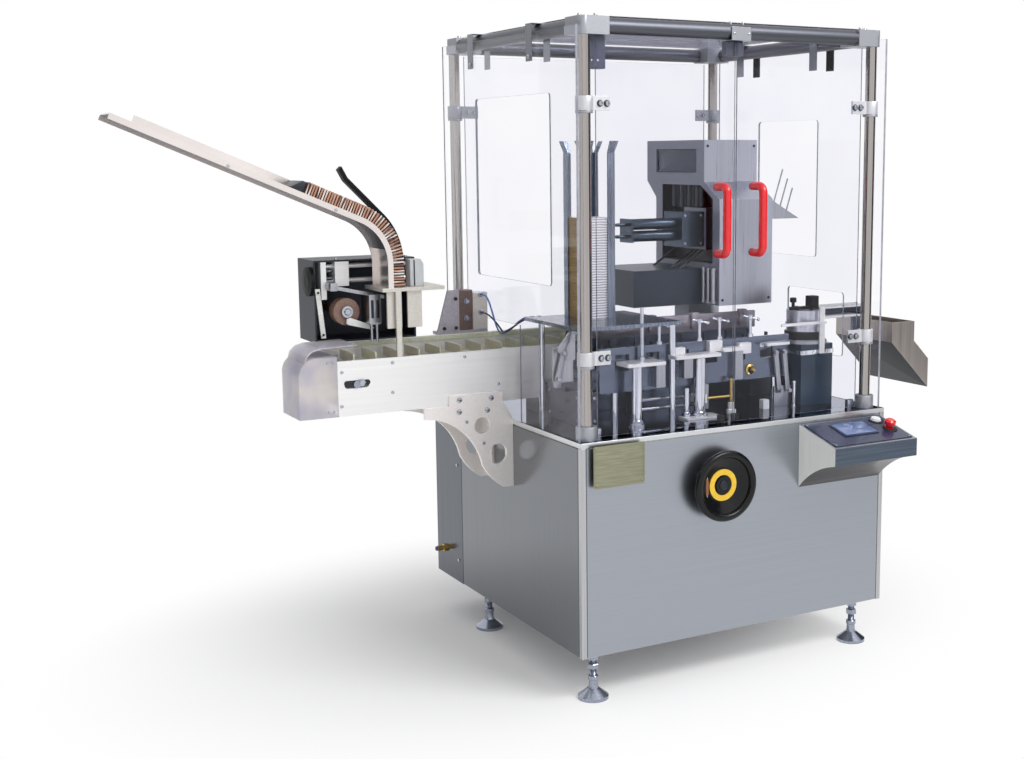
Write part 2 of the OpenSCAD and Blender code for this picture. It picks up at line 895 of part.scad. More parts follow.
// Square block with its outer corner rounded
module corner_block() {
    translate([-block_out, -block_out, 0]) linear_extrude(block_h) {
        translate([block_round, 0]) square([block_s - block_round, block_s]);
        translate([0, block_round]) square([block_s, block_s - block_round]);
        translate([block_round, block_round]) circle(block_round);
    }
}

module corner_blocks() {
    color("silver") machine() for (i = [0, 1], j = [0, 1])
        translate([post_x[i], post_y[j], block_z])
            rotate([0, 0, i == 0 ? (j == 0 ? 0 : -90) : (j == 0 ? 90 : 180)]) corner_block();
}

module top_rails() {
    inside = block_s - block_out;
    color("dimgray") machine() {
        for (y = post_y)
            x_bar(post_x[0] + inside, y, rail_z, post_x[1] - post_x[0] - 2 * inside, rail_d);
        for (x = post_x)
            y_bar(x, post_y[0] + inside, rail_z, post_y[1] - post_y[0] - 2 * inside, rail_d);
    }
}

module roof_sheet() {
    color("thistle", 0.4) machine()
        slab([post_x[0] + roof_inset, post_y[0] + roof_inset, block_z + block_h],
            [post_x[1] - roof_inset, post_y[1] - roof_inset, block_z + block_h + roof_t]);
}

// Clear sheet between the planes x0 and x1, behind the front posts
module door_sheet(x0, x1) {
    slab([x0, post_y[0], deck_z + door_lift],
        [x1, post_y[0] + glass_t, rail_z - rail_d / 2 - door_drop]);
}

// Clamp round a post with an ear towards side, which is 1 or -1
module clamp(side, gap) {
    difference() {
        union() {
            cylinder(d = clamp_d, h = clamp_h);
            slab([min(0, side * ear_reach), -ear_t, 0], [max(0, side * ear_reach), 0, clamp_h]);
        }
        translate([0, 0, -eps]) cylinder(d = post_d + 2 * gap, h = clamp_h + 2 * eps);
    }
}

// Lower and upper clamp of one post
module clamp_pair(i, j, gap) {
    for (z = [clamp_low, clamp_high])
        translate([post_x[i], post_y[j], deck_z + z - clamp_h / 2]) clamp(i == 0 ? 1 : -1, gap);
}

// Bent bar on two legs, in front of the door sheet
module handle(x) {
    straight = handle_l - 2 * handle_bend;
    leg = handle_off - handle_bend;
    translate([x, post_y[0], deck_z + handle_z]) {
        translate([0, -handle_off, -straight / 2]) cylinder(d = handle_d, h = straight);
        for (s = [-1, 1]) {
            translate([0, -leg, s * straight / 2]) rotate([0, 90, 0]) rotate([0, 0, s > 0 ? 180 : 270])
                rotate_extrude(angle = 90) translate([handle_bend, 0]) circle(d = handle_d);
            y_bar(0, -leg, s * handle_l / 2, leg, handle_d);
        }
    }
}

module left_door_glass() {
    color("lightblue", 0.3) machine()
        door_sheet(post_x[0] + door_edge, front_mid - door_gap / 2);
}

module left_door_hinges() {
    color("silver") machine() clamp_pair(0, 0, run_gap);
}

module left_door_handle() {
    color("red") machine() handle(front_mid - handle_x);
}

module right_door_glass() {
    color("lightblue", 0.3) machine()
        door_sheet(front_mid + door_gap / 2, post_x[1] - door_edge);
}

module right_door_hinges() {
    color("silver") machine() clamp_pair(1, 0, run_gap);
}

module right_door_handle() {
    color("red") machine() handle(front_mid + handle_x);
}

// Plate in front of the rail, with a web under the rail that carries the magnets
module door_catch() {
    front = post_y[0] - rail_d / 2;
    foot = rail_z - rail_d / 2 - catch_t;
    color("silver") machine() {
        slab([front_mid - catch_w / 2, front - catch_t, foot],
            [front_mid + catch_w / 2, front, foot + catch_h]);
        slab([front_mid - catch_w / 2, front - eps, foot],
            [front_mid + catch_w / 2, magnet_y + magnet_d, foot + catch_t]);
    }
}

// Catch magnets behind the two doors, and the switch that the left door works
module safety_switches() {
    top = rail_z - rail_d / 2 - catch_t;
    color("midnightblue") machine() {
        for (s = [-1, 1])
            translate([front_mid + s * catch_w / 4, magnet_y, top - magnet_h])
                translate([-magnet_w / 2, 0, 0]) cube([magnet_w, magnet_d, magnet_h]);
        slab([post_x[0] + post_d / 2 + eps, magnet_y, block_z - switch_h],
            [post_x[0] + post_d / 2 + eps + switch_w, magnet_y + switch_d, block_z]);
    }
}

// Outline of a side sheet in y and z
module side_sheet() {
    translate([post_y[0] - guard_over, deck_z])
        square([post_y[1] - post_y[0] + 2 * guard_over, rail_z - deck_z]);
}

// Rounded window in a side sheet, measured from the front posts and the deck
module side_window(y, z, l, h) {
    translate([post_y[0] + y, deck_z + z]) soft_rect([l, h], win_round);
}

// Left sheet with the magazine window and the notch for the conveyor
module left_guard() {
    color("lavender", 0.4) machine() yz_plate(guard_inset, guard_t) difference() {
        side_sheet();
        side_window(left_win_y, left_win_z, left_win_l, left_win_h);
        translate([post_y[0] + notch_y, deck_z - eps]) square([notch_l, notch_h + eps]);
    }
}

// Right sheet with a service window and the discharge window
module right_guard() {
    color("lavender", 0.4) machine() yz_plate(cabinet_w - guard_inset - guard_t, guard_t) difference() {
        side_sheet();
        side_window(right_win_y, right_win_z, right_win_l, right_win_h);
        side_window(out_win_y, out_win_z, out_win_l, out_win_h);
    }
}

module back_guard() {
    color("lavender", 0.4) machine()
        slab([post_x[0] + door_edge, post_y[1], deck_z],
            [post_x[1] - door_edge, post_y[1] + guard_t, rail_z - rail_d / 2 - door_drop]);
}

module back_clamps() {
    color("silver") machine() for (i = [0, 1]) clamp_pair(i, 1, seat_gap);
}

// Straps over the side rails that hold the tops of the side sheets
module guard_hangers() {
    left = [guard_inset - strap_t, post_x[0] + rail_d / 2 + strap_t];
    right = [post_x[1] - rail_d / 2 - strap_t, cabinet_w - guard_inset + strap_t];
    top = rail_z + rail_d / 2;
    color("silver") machine() for (x = [left, right], i = [0, 1])
        xz_plate(post_y[0] + strap_first + i * strap_pitch - strap_w / 2, strap_w) difference() {
            translate([x[0], rail_z - strap_drop]) square([x[1] - x[0], top + strap_t - rail_z + strap_drop]);
            translate([x[0] + strap_t, rail_z - strap_drop - eps])
                square([x[1] - x[0] - 2 * strap_t, top - rail_z + strap_drop + eps]);
        }
}

// Side plate of the conveyor with the tension slot and the drive shaft's bore
module conveyor_plate(y, h) {
    xz_plate(y, plate_t) difference() {
        translate([-plate_reach, conveyor_z]) square([plate_reach + plate_end, h]);
        translate([chain_x[0] - slot_l / 2, chain_z - slot_h / 2]) soft_rect([slot_l, slot_h], slot_h / 2);
        translate([chain_x[1], chain_z]) circle(d = shaft_d + 2 * seat_gap);
    }
}

module conveyor_plates() {
    color("whitesmoke") machine() {
        conveyor_plate(conveyor_y, front_plate_h);
        conveyor_plate(conveyor_y + conveyor_w - plate_t, rear_plate_h);
    }
}

// Outline of the end cover with its upper outer edge rounded, inset by t
module cover_shape(t) {
    r = cover_round - t;
    x = -plate_reach - cover_reach + t;
    z = conveyor_z + t;
    h = cover_h - 2 * t;
    translate([x, z]) square([cover_reach, h - r]);
    translate([x + r, z]) square([cover_reach - r, h]);
    translate([x + r, z + h - r]) circle(r);
}

// Clear shell over the conveyor's left end, open towards the plates
module conveyor_cover() {
    color("lavender", 0.4) machine() difference() {
        xz_plate(conveyor_y, conveyor_w) intersection() {
            cover_shape(0);
            translate([-plate_reach - cover_reach, conveyor_z]) square([cover_reach, cover_h]);
        }
        xz_plate(conveyor_y + cover_t, conveyor_w - 2 * cover_t) cover_shape(cover_t);
    }
}

// Turn of the loop's outward normal from +z, at the distance s along the chain
function loop_turn(s, l, r) =
    s < l ? 0 : s < l + PI * r ? (s - l) / r * 180 / PI
    : s < 2 * l + PI * r ? 180 : 180 + (s - 2 * l - PI * r) / r * 180 / PI;

// Place in x on the loop's axis line that the normal starts from
function loop_x(s, l, r) =
    s < l ? chain_x[0] + s : s < l + PI * r ? chain_x[1]
    : s < 2 * l + PI * r ? chain_x[1] - (s - l - PI * r) : chain_x[0];

// Chain loop with a row of bucket walls along it
module bucket_chain() {
    l = chain_x[1] - chain_x[0];
    around = 2 * l + 2 * PI * loop_r;
    n = floor(around / bucket_pitch);
    color("darkkhaki") machine() {
        xz_plate(conveyor_mid - loop_w / 2, loop_w) difference() {
            loop_shape(chain_x, chain_z, loop_r);
            loop_shape(chain_x, chain_z, loop_r - loop_t);
        }
        for (i = [0 : n - 1])
            translate([loop_x(i * around / n, l, loop_r), conveyor_mid, chain_z])
                rotate([0, loop_turn(i * around / n, l, loop_r), 0])
                    translate([-bucket_t / 2, -bucket_w / 2, loop_r + seat_gap])
                        cube([bucket_t, bucket_w, bucket_h]);
    }
}

module sprocket_shafts() {
    color("silver") machine() for (x = chain_x) {
        y_bar(x, conveyor_y - shaft_out, chain_z, conveyor_w + 2 * shaft_out, shaft_d);
        y_bar(x, conveyor_mid - loop_w / 4, chain_z, loop_w / 2, 2 * (loop_r - loop_t - seat_gap));
    }
}

// Gusset casting: a nose with a concave underside, a rounded belly, a toe and lightening holes
module bracket_shape() {
    top = conveyor_z + bracket_lap;
    toe = [-toe_w, top - bracket_h];
    nose = [-bracket_l, conveyor_z - nose_h];
    belly = [-belly_x, top - belly_z];
    difference() {
        union() {
            polygon([[0, toe[1]], toe, belly, nose, [-bracket_l, conveyor_z], [-pad_left, conveyor_z],
                [-pad_left, top], [-toe_w, top], [-toe_w, conveyor_z], [0, conveyor_z - corner_fall]]);
            intersection() {
                translate(arc_centre(belly, toe, belly_r)) circle(belly_r, $fn = 96);
                polygon([belly, [belly[0], toe[1]], toe]);
            }
        }
        translate(arc_centre(belly, nose, sweep_r)) circle(sweep_r, $fn = 96);
        translate([-upper_hole_x, top - upper_hole_z]) circle(d = upper_hole);
        translate([-lower_hole_x, top - lower_hole_z]) circle(d = lower_hole);
    }
}

// Two gussets under the conveyor's plates, with flanges between them on the cabinet's side
module conveyor_brackets() {
    front = conveyor_y - bracket_t;
    back = conveyor_y + conveyor_w + bracket_t;
    color("linen") machine() {
        for (y = [front, back - bracket_t]) xz_plate(y, bracket_t) bracket_shape();
        for (y = [front, back - flange_w])
            slab([-flange_t, y, conveyor_z + bracket_lap - bracket_h], [0, y + flange_w, conveyor_z - corner_fall]);
    }
}

// Dark housing, open at the front, with the stand plate that holds it on the conveyor
module feeder_housing() {
    right = feeder_w - feeder_left;
    color("darkslategray") machine() {
        difference() {
            slab([-feeder_left, feeder_y, feeder_z], [right, feeder_y + feeder_d, feeder_z + feeder_h]);
            slab([feeder_wall - feeder_left, feeder_y - eps, feeder_z + feeder_wall],
                [right - feeder_wall, feeder_y + feeder_d - feeder_wall, feeder_z + feeder_h - feeder_wall]);
        }
        slab([stand_in - feeder_left, feeder_y + plate_t, feeder_z - stand_h],
            [-bracket_l - stand_in, feeder_y + plate_t + stand_t, feeder_z + eps]);
    }
}

// Guide plate, slide block and two rods under the housing's roof
module feeder_guides() {
    roof = feeder_z + feeder_h - feeder_wall;
    plate_x = guide_in - feeder_left;
    rod_l = feeder_w - feeder_wall - guide_in - guide_t;
    color("lightgray") machine() {
        slab([plate_x, feeder_y, roof - guide_plate_h], [plate_x + guide_t, feeder_y + guide_d, roof]);
        slab([plate_x + guide_pitch, feeder_y, roof - guide_block_h],
            [plate_x + guide_pitch + guide_block_w, feeder_y + guide_d, roof]);
        for (z = [guide_rod_d, guide_block_h - guide_rod_d])
            x_bar(plate_x + guide_t - eps, feeder_y + guide_d / 2, roof - z, rod_l + eps, guide_rod_d);
    }
}

// Feed roller on its shaft from the housing's back wall
module feeder_roller() {
    x = roller_x - feeder_left;
    z = feeder_z + roller_z;
    front = feeder_y - roller_out;
    color("saddlebrown") machine() {
        y_bar(x, front, z, roller_w, roller_d);
        y_bar(x, front - hub_out, z, feeder_d - feeder_wall + roller_out + hub_out, hub_d);
    }
}

// Knurled knob on the housing's left side
module feeder_knob() {
    color("black") machine() translate([-feeder_left, feeder_y + knob_y, feeder_z + knob_z])
        rotate([0, -90, 0]) {
            cylinder(d = knob_d, h = knob_l);
            translate([0, 0, knob_l]) cylinder(d1 = knob_d - knob_l / 2, d2 = knob_d / 2, h = knob_l / 4);
        }
}

// Base plate under the chute, its two hanging cheeks and the bar down to the conveyor
module magazine_base() {
    slide_x = -slide_left;
    floor_z = base_top - base_t;
    color("lightgray") machine() {
        difference() {
            slab([base_in - feeder_left, conveyor_y, floor_z], [slide_x + base_out, feeder_y, base_top]);
            slab([slide_x + run_gap, chute_y + chute_t, floor_z - eps],
                [slide_x + card_h + hold_gap - eps, feeder_y - chute_t, base_top + eps]);
        }
        for (x = [slide_x, slide_x + cheek_pitch])
            slab([x - cheek_w / 2, chute_y, floor_z - cheek_h], [x + cheek_w / 2, chute_y + cheek_t, floor_z + eps]);
        slab([slide_x, conveyor_y, conveyor_z + front_plate_h],
            [slide_x + prop_w, conveyor_y + plate_t, floor_z + eps]);
    }
}

// Sweeps a profile along the slide: the bend, then a straight run, and the drop to the base.
// The profile is drawn in height above the sliding face and y.
module along_slide(turn, run, drop) {
    translate([bend_x, 0, bend_z]) rotate([90, 0, 0]) {
        rotate_extrude(angle = turn, $fn = 120) translate([chute_r, 0]) mirror([0, 1]) children();
        rotate([0, 0, turn]) translate([chute_r, run, 0]) rotate([90, 0, 0])
            linear_extrude(run) mirror([0, 1]) children();
        translate([chute_r, 0, 0]) rotate([90, 0, 0]) linear_extrude(drop) mirror([0, 1]) children();
    }
}

// Chute of bent sheet: a sliding face with a leg down each side, and a guide strip along the far side
module blister_chute() {
    near = chute_y;
    far = chute_y + chute_w;
    color("lightgray") machine() {
        along_slide(bend_turn, chute_l, bend_z - base_top)
            polygon([[-chute_leg, near], [0, near], [0, far], [-chute_leg, far], [-chute_leg, far - chute_t],
                [-chute_t, far - chute_t], [-chute_t, near + chute_t], [-chute_leg, near + chute_t]]);
        along_slide(bend_turn, chute_l - guide_cut, bend_z - base_top)
            translate([seat_gap, far - chute_t]) square([guide_h - seat_gap, chute_t]);
    }
}

// Blister pack that stands on the sliding face, turned by turn and moved along by run
module blister(turn, run) {
    translate([bend_x, chute_y + chute_t, bend_z]) rotate([0, -turn, 0])
        translate([chute_r + run_gap, 0, run - card_t / 2]) cube([card_h, chute_w - 3 * chute_t, card_t]);
}

// Packs along the bend, up the straight run and down to the base
module blister_stack() {
    n = floor(bend_turn / 180 * PI * chute_r / card_pitch);
    color("peru") machine() {
        for (i = [0.5 : n]) blister(i * bend_turn / n, 0);
        for (run = [card_pitch / 2 : card_pitch : stack_run]) blister(bend_turn, run);
        for (run = [card_pitch / 2 : card_pitch : bend_z - base_top - card_t]) blister(0, -run);
    }
}

// Bar over the stack that follows the bend and ends in a raised tip
module hold_down_bar() {
    low = card_h + hold_gap;
    y = chute_y + (chute_w - hold_w) / 2;
    lean = hold_tip * sin(hold_kick);
    tip = hold_tip * cos(hold_kick);
    color("dimgray") machine() {
        along_slide(hold_turn, hold_tail, bend_z - base_top) translate([low, y]) square([hold_t, hold_w]);
        translate([bend_x, y + hold_w, bend_z]) rotate([90, 0, 0]) rotate([0, 0, hold_turn])
            translate([chute_r + low, hold_tail, 0]) linear_extrude(hold_w)
                polygon([[0, 0], [hold_t, 0], [hold_t + lean, tip], [lean, tip]]);
    }
}

// Gusset on a strip along the top of the rear plate
module valve_bracket() {
    color("rosybrown") machine() {
        xz_plate(feeder_y, plate_t) polygon([[-valve_left, feeder_z], [gusset_w - valve_left, feeder_z],
            [gusset_w - valve_left, feeder_z + gusset_h], [gusset_w / 2 - valve_left, feeder_z + gusset_h]]);
        slab([-valve_left, feeder_y, feeder_z],
            [gusset_w + valve_w + cylinder_w - valve_left, feeder_y + valve_d, feeder_z + plate_t]);
    }
}

// Valve and cylinder blocks beside the gusset
module valve_blocks() {
    x = gusset_w - valve_left;
    z = feeder_z + plate_t;
    color("tan") machine() {
        slab([x, feeder_y, z], [x + valve_w, feeder_y + valve_d, z + valve_h]);
        slab([x + valve_w + eps, feeder_y, z],
            [x + valve_w + cylinder_w, feeder_y + valve_d, z + valve_h - plate_t]);
    }
}

// Strip that is bent outward near its top, drawn across its thickness
module splayed_strip() {
    lean = tip_l * sin(tip_splay);
    top = rail_rise + tip_l * cos(tip_splay);
    polygon([[-rail_t, 0], [0, 0], [0, rail_rise], [-lean, top], [-rail_t - lean, top], [-rail_t, rail_rise]]);
}

// Angle rail at a corner of the stack, with splayed tips
module magazine_rail() {
    xz_plate(0, rail_leg) splayed_strip();
    yz_plate(0, rail_leg) splayed_strip();
    slab([-rail_t, -rail_t, 0], [eps, eps, rail_rise]);
}

// Table over the track with four angle rails round the carton stack
module carton_magazine() {
    gap = carton_gap;
    color("slategray") machine() {
        slab([column_x[0] - column_d, column_y[0] - column_d, table_z - table_t],
            [column_x[1] + column_d, carton_y + carton_d + table_margin, table_z]);
        translate([carton_x - gap, carton_y - gap, table_z - eps]) magazine_rail();
        translate([carton_x + carton_w + gap, carton_y - gap, table_z - eps]) rotate([0, 0, 90]) magazine_rail();
        translate([carton_x + carton_w + gap, carton_y + carton_d + gap, table_z - eps])
            rotate([0, 0, 180]) magazine_rail();
        translate([carton_x - gap, carton_y + carton_d + gap, table_z - eps])
            rotate([0, 0, -90]) magazine_rail();
    }
}

module carton_stack() {
    color("wheat") machine() slab([carton_x, carton_y, table_z],
        [carton_x + carton_w, carton_y + carton_d, table_z + carton_h]);
}

// Windowed front plate, rear plate down to the deck, bed between them and rows of carton lugs
module carton_track() {
    top = track_z + track_h;
    l = track_end - track_x;
    color("slategray") machine() {
        xz_plate(track_y, track_t) difference() {
            translate([track_x, track_z]) square([l, track_h]);
            for (x = [window_pitch / 2 : window_pitch : l - window_s])
                translate([track_x + x, top - window_s - window_drop]) square(window_s);
        }
        slab([track_x, track_y + track_w - track_t, deck_z], [track_end, track_y + track_w, top]);
        slab([track_x, track_y + track_t - eps, top - bed_drop - bed_t],
            [track_end, track_y + track_w - track_t + eps, top - bed_drop]);
        for (x = [lug_pitch / 2 : lug_pitch : l - lug_t], s = [-1, 1])
            translate([track_x + x, track_y + track_w / 2 + s * lug_row / 2 - lug_w / 2, top - bed_drop + seat_gap])
                cube([lug_t, lug_w, lug_h]);
    }
}

// Chrome columns under the track's front and the magazine table
module track_columns() {
    color("white") machine() {
        for (x = [track_x + column_in, (track_x + track_end) / 2, track_end - column_in])
            translate([x, track_y + track_t / 2, deck_z]) cylinder(d = column_d, h = track_lift);
        for (x = column_x, y = column_y)
            translate([x, y, deck_z]) cylinder(d = column_d, h = table_z - table_t - deck_z);
    }
}

// Folder outline in y and z, with its front moved back by t
module folder_shape(t) {
    polygon([[folder_y + t, folder_z], [folder_y + folder_low_d, folder_z],
        [folder_y + folder_low_d, shoulder_z], [upper_y + folder_up_d, shoulder_z + shoulder_h],
        [upper_y + folder_up_d, folder_top], [upper_y + t, folder_top],
        [upper_y + t, shoulder_z + shoulder_h], [folder_y + t, shoulder_z]]);
}

// Folder body on its column, with the leaflet window and a recess round the gearbox's pier
module folder_housing() {
    color("darkgray") machine() {
        difference() {
            yz_plate(folder_left, folder_w) folder_shape(cover_sheet);
            slab([folder_left - eps, upper_y + pane_in, shoulder_z + shoulder_h + pane_lift],
                [folder_left + recess_d, upper_y + pane_in + pane_l, folder_top - pane_lift]);
            difference() {
                yz_plate(folder_left - eps, recess_d + eps) intersection() {
                    folder_shape(recess_in);
                    translate([folder_y, shoulder_z - recess_low])
                        square([folder_low_d - recess_in, recess_low + shoulder_h - recess_lip]);
                }
                slab([folder_left - 1, upper_y - recess_lip, gear_z - gear_h / 2 - recess_lip],
                    [folder_left + folder_w, upper_y + gear_d + recess_lip, gear_z + gear_h / 2 + recess_lip]);
            }
        }
        slab([folder_left + (folder_w - folder_col) / 2, folder_col_y, deck_z],
            [folder_left + (folder_w + folder_col) / 2, folder_col_y + folder_col, folder_z + eps]);
    }
}

// Stainless sheet over the folder's front, bent at the shoulder
module folder_cover() {
    color("lightgray") machine() yz_plate(folder_left, folder_w) difference() {
        folder_shape(0);
        folder_shape(cover_sheet);
    }
}

module folding_unit() {
    color("darkslategray") machine()
        slab([folder_left - unit_l, upper_y, folder_z], [folder_left, upper_y + unit_d, folder_z + unit_h]);
}

// Pair of folding rollers between an end plate and the gearbox on the folder's side
module folding_rollers() {
    z = gear_z;
    end_x = folder_left - gear_l - fold_roller_l;
    y = upper_y + gear_d / 2;
    color("dimgray") machine() {
        slab([folder_left - gear_l, upper_y, z - gear_h / 2], [folder_left, upper_y + gear_d, z + gear_h / 2]);
        slab([end_x, y - fold_roller_d, z - gear_h / 3], [end_x + fold_end_t, y + fold_roller_d, z + gear_h / 3]);
        for (s = [-1, 1]) {
            x_bar(end_x + fold_end_t - eps, y, z + s * (fold_roller_d / 2 + eps),
                fold_roller_l - fold_end_t + 2 * eps, fold_roller_d);
            x_bar(end_x - fold_shaft_l, y, z + s * (fold_roller_d / 2 + eps), fold_shaft_l + eps, fold_shaft_d);
        }
    }
}

// Sloping tray between two cheeks on the folder's right side, with thin guide rods
module leaflet_tray() {
    x = folder_left + folder_w;
    z = recess_z + tray_drop;
    color("slategray") machine() {
        for (y = [tray_y, tray_y + tray_w - cheek_t]) xz_plate(y, cheek_t)
            polygon([[x, z], [x + tray_l, z], [x, z + tray_h]]);
        xz_plate(tray_y, tray_w) polygon([[x, z], [x + tray_l, z], [x, z + cheek_t]]);
        for (i = [0, 1, 2])
            translate([x + tray_rod_in + i * tray_rod_pitch, tray_y + cheek_t / 2, z])
                rotate([0, tray_rod_lean, 0]) cylinder(d = tray_rod_d, h = tray_rod_l - i * tray_rod_step);
    }
}

// Smoked box on the deck
module smoked_box() {
    color("darkslategray") machine()
        slab([smoke_left, smoke_y, deck_z], [smoke_left + smoke_w, smoke_y + smoke_d, deck_z + smoke_h]);
}

// Drum with a bright ring on top of the smoked box
module pressing_drum() {
    color("gray") machine()
        translate([smoke_left + smoke_w / 2, smoke_y + smoke_d / 2, deck_z + smoke_h]) {
            cylinder(d = drum_d, h = drum_h);
            translate([0, 0, drum_h / 2]) cylinder(d = drum_d + drum_ring / 2, h = drum_ring);
        }
}

// Arm on a post of its own that carries the belt's rollers and hangs the chute
module discharge_arm() {
    y = belt_y + belt_w / 2 + run_gap;
    z = deck_z + belt_z;
    color("gray") machine() {
        slab([belt_left - belt_r, y, z - arm_h / 2], [out_left, y + arm_t, z + arm_h / 2]);
        slab([belt_left - belt_r, y, deck_z], [belt_left + belt_r, y + arm_t, z]);
        slab([out_left - arm_h / 2, y, deck_z + out_top - out_drop], [out_left, y + arm_t, z]);
        for (x = [belt_left, belt_right])
            y_bar(x, belt_y - belt_w / 2, z, belt_w + run_gap + eps, 2 * (belt_r - belt_t - seat_gap));
    }
}

// Ribbed belt loop through the discharge window
module discharge_belt() {
    n = floor((belt_right - belt_left) / rib_pitch);
    z = deck_z + belt_z;
    color("white") machine() {
        xz_plate(belt_y - belt_w / 2, belt_w) difference() {
            loop_shape([belt_left, belt_right], z, belt_r);
            loop_shape([belt_left, belt_right], z, belt_r - belt_t);
        }
        for (i = [0 : n], s = [-1, 1])
            translate([belt_left + i * rib_pitch, belt_y, z + s * belt_r])
                cube([rib_pitch / 2, belt_w, belt_t], center = true);
    }
}

// Outline of the discharge chute, moved in by t and run past its two open ends by e
module chute_shape(t, e) {
    bend = deck_z + out_top - out_drop;
    top = deck_z + out_top + e;
    right = out_left + out_w + out_reach + e;
    k = t * (sqrt(2) - 1);
    polygon([[out_left + t, top], [out_left + out_w - t, top], [out_left + out_w - t, bend - k],
        [right, bend - out_reach - t * sqrt(2) - e],
        [right, bend - out_w - out_reach + t * sqrt(2) - e], [out_left + t, bend + k]]);
}

// Open sheet chute that turns from straight down to a slope
module discharge_chute() {
    color("silver") machine() difference() {
        xz_plate(out_y, out_d) chute_shape(0, 0);
        xz_plate(out_y + out_t, out_d - 2 * out_t) chute_shape(out_t, eps);
    }
}

// Sloping box under the deck's edge, with a swept underside
module operator_box() {
    top = deck_z - box_top;
    lip = [-box_d, top - box_fall - lip_h];
    foot = [0, top - box_h];
    color("gainsboro") machine() yz_plate(box_x, box_w) difference() {
        polygon([[0, top], foot, lip, [-box_d, top - box_fall]]);
        translate(arc_centre(foot, lip, box_sweep)) circle(box_sweep, $fn = 96);
    }
}

// Frame of the operator box's sloping top: x to the right, y up the slope, z off the plate
module on_top() {
    translate([box_x, 0, deck_z - box_top]) rotate([atan(box_fall / box_d), 0, 0]) children();
}

// Control plate with the raised bezel of the touch screen
module control_plate() {
    l = box_d / cos(atan(box_fall / box_d));
    color("midnightblue") machine() on_top() {
        slab([plate_margin, plate_margin - l, 0], [box_w - plate_margin, -plate_margin, control_t]);
        translate([screen_in, -screen_back - screen_d, control_t - eps])
            linear_extrude(bezel_t + eps) soft_rect([screen_w, screen_d], bezel_round);
    }
}

module start_button() {
    color("white") machine() on_top() translate([start_x, -start_back, control_t]) {
        cylinder(d = start_d + start_h / 2, h = start_h / 2);
        cylinder(d = start_d, h = start_h);
    }
}

// Red mushroom on its stem
module stop_button() {
    cap = stop_h / 2;
    color("red") machine() on_top() translate([stop_x, -stop_back, control_t]) rotate_extrude()
        polygon([[0, 0], [stop_collar / 2, 0], [stop_collar / 2, cap / 3], [stop_d / 4, cap / 2],
            [stop_d / 4, cap], [stop_d / 2, cap], [stop_d / 2, stop_h - cap / 3],
            [stop_d / 3, stop_h], [0, stop_h]]);
}

// Frame of the handwheel: z is the distance in front of the front panel
module on_wheel() {
    translate([wheel_x, 0, deck_z - wheel_z]) rotate([90, 0, 0]) children();
}

// Dished wheel: round rim, web that falls to a flat floor, hub cap and the shaft in the boss
module handwheel() {
    rim_r = (wheel_d - rim_d) / 2;
    low = boss_l + wheel_gap;
    top = low + web_t;
    color("black") machine() on_wheel() {
        rotate_extrude() translate([rim_r, wheel_off]) circle(d = rim_d);
        rotate_extrude() polygon([[0, low], [dish_d / 2, low], [rim_r, wheel_off - web_t / 2],
            [rim_r, wheel_off + web_t / 2], [dish_d / 2, top], [hub_cap_d / 2, top],
            [hub_cap_d / 2, top + hub_cap_l], [0, top + hub_cap_l]]);
        translate([0, 0, wheel_gap]) cylinder(d = wheel_shaft, h = low);
    }
}

// Yellow ring on the floor of the dish
module handwheel_ring() {
    color("gold") machine() on_wheel() translate([0, 0, boss_l + wheel_gap + web_t]) difference() {
        cylinder(d = ring_out, h = ring_t);
        translate([0, 0, -eps]) cylinder(d = ring_in, h = ring_t + 2 * eps);
    }
}

cabinet_core();
front_panel();
side_panels();
rear_cabinet();
deck_plate();
levelling_feet();
guard_posts();
post_collars();
corner_blocks();
top_rails();
roof_sheet();
left_door_glass();
left_door_hinges();
left_door_handle();
right_door_glass();
right_door_hinges();
right_door_handle();
door_catch();
safety_switches();
left_guard();
right_guard();
back_guard();
back_clamps();
guard_hangers();
conveyor_plates();
conveyor_cover();
bucket_chain();
sprocket_shafts();
conveyor_brackets();
feeder_housing();
feeder_guides();
feeder_roller();
feeder_knob();
magazine_base();
blister_chute();
blister_stack();
hold_down_bar();
valve_bracket();
valve_blocks();
carton_magazine();
carton_stack();
carton_track();
track_columns();
folder_housing();
folder_cover();
folding_unit();
folding_rollers();
leaflet_tray();
smoked_box();
pressing_drum();
discharge_arm();
discharge_belt();
discharge_chute();
operator_box();
control_plate();
start_button();
stop_button();
handwheel();
handwheel_ring();
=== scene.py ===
import math

import bmesh
import bpy
from mathutils import Matrix, Vector


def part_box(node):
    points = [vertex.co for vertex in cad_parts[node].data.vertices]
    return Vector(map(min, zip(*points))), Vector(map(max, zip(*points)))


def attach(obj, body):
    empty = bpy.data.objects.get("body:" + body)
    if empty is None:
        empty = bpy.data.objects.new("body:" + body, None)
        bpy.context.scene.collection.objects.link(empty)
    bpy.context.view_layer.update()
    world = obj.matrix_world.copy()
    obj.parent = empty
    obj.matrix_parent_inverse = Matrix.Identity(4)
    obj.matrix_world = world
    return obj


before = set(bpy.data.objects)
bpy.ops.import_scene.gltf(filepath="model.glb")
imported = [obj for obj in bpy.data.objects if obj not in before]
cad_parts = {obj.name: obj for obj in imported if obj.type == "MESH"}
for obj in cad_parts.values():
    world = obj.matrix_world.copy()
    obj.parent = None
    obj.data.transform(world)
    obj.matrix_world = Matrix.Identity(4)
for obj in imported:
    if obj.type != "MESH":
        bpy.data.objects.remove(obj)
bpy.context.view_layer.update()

# Camera
# The photograph looks at the machine from the front left, a little above the deck, through a long lens.
# The lens is shifted because the machine stands off the middle of the picture.
cabinet_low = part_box("cabinet_core")[0]
corner = Vector((cabinet_low[0], cabinet_low[1], 0.0))


def at(x, y, z):
    """A place in millimetres from the cabinet's front left corner on the floor."""
    return corner + Vector((x, y, z)) / 1000


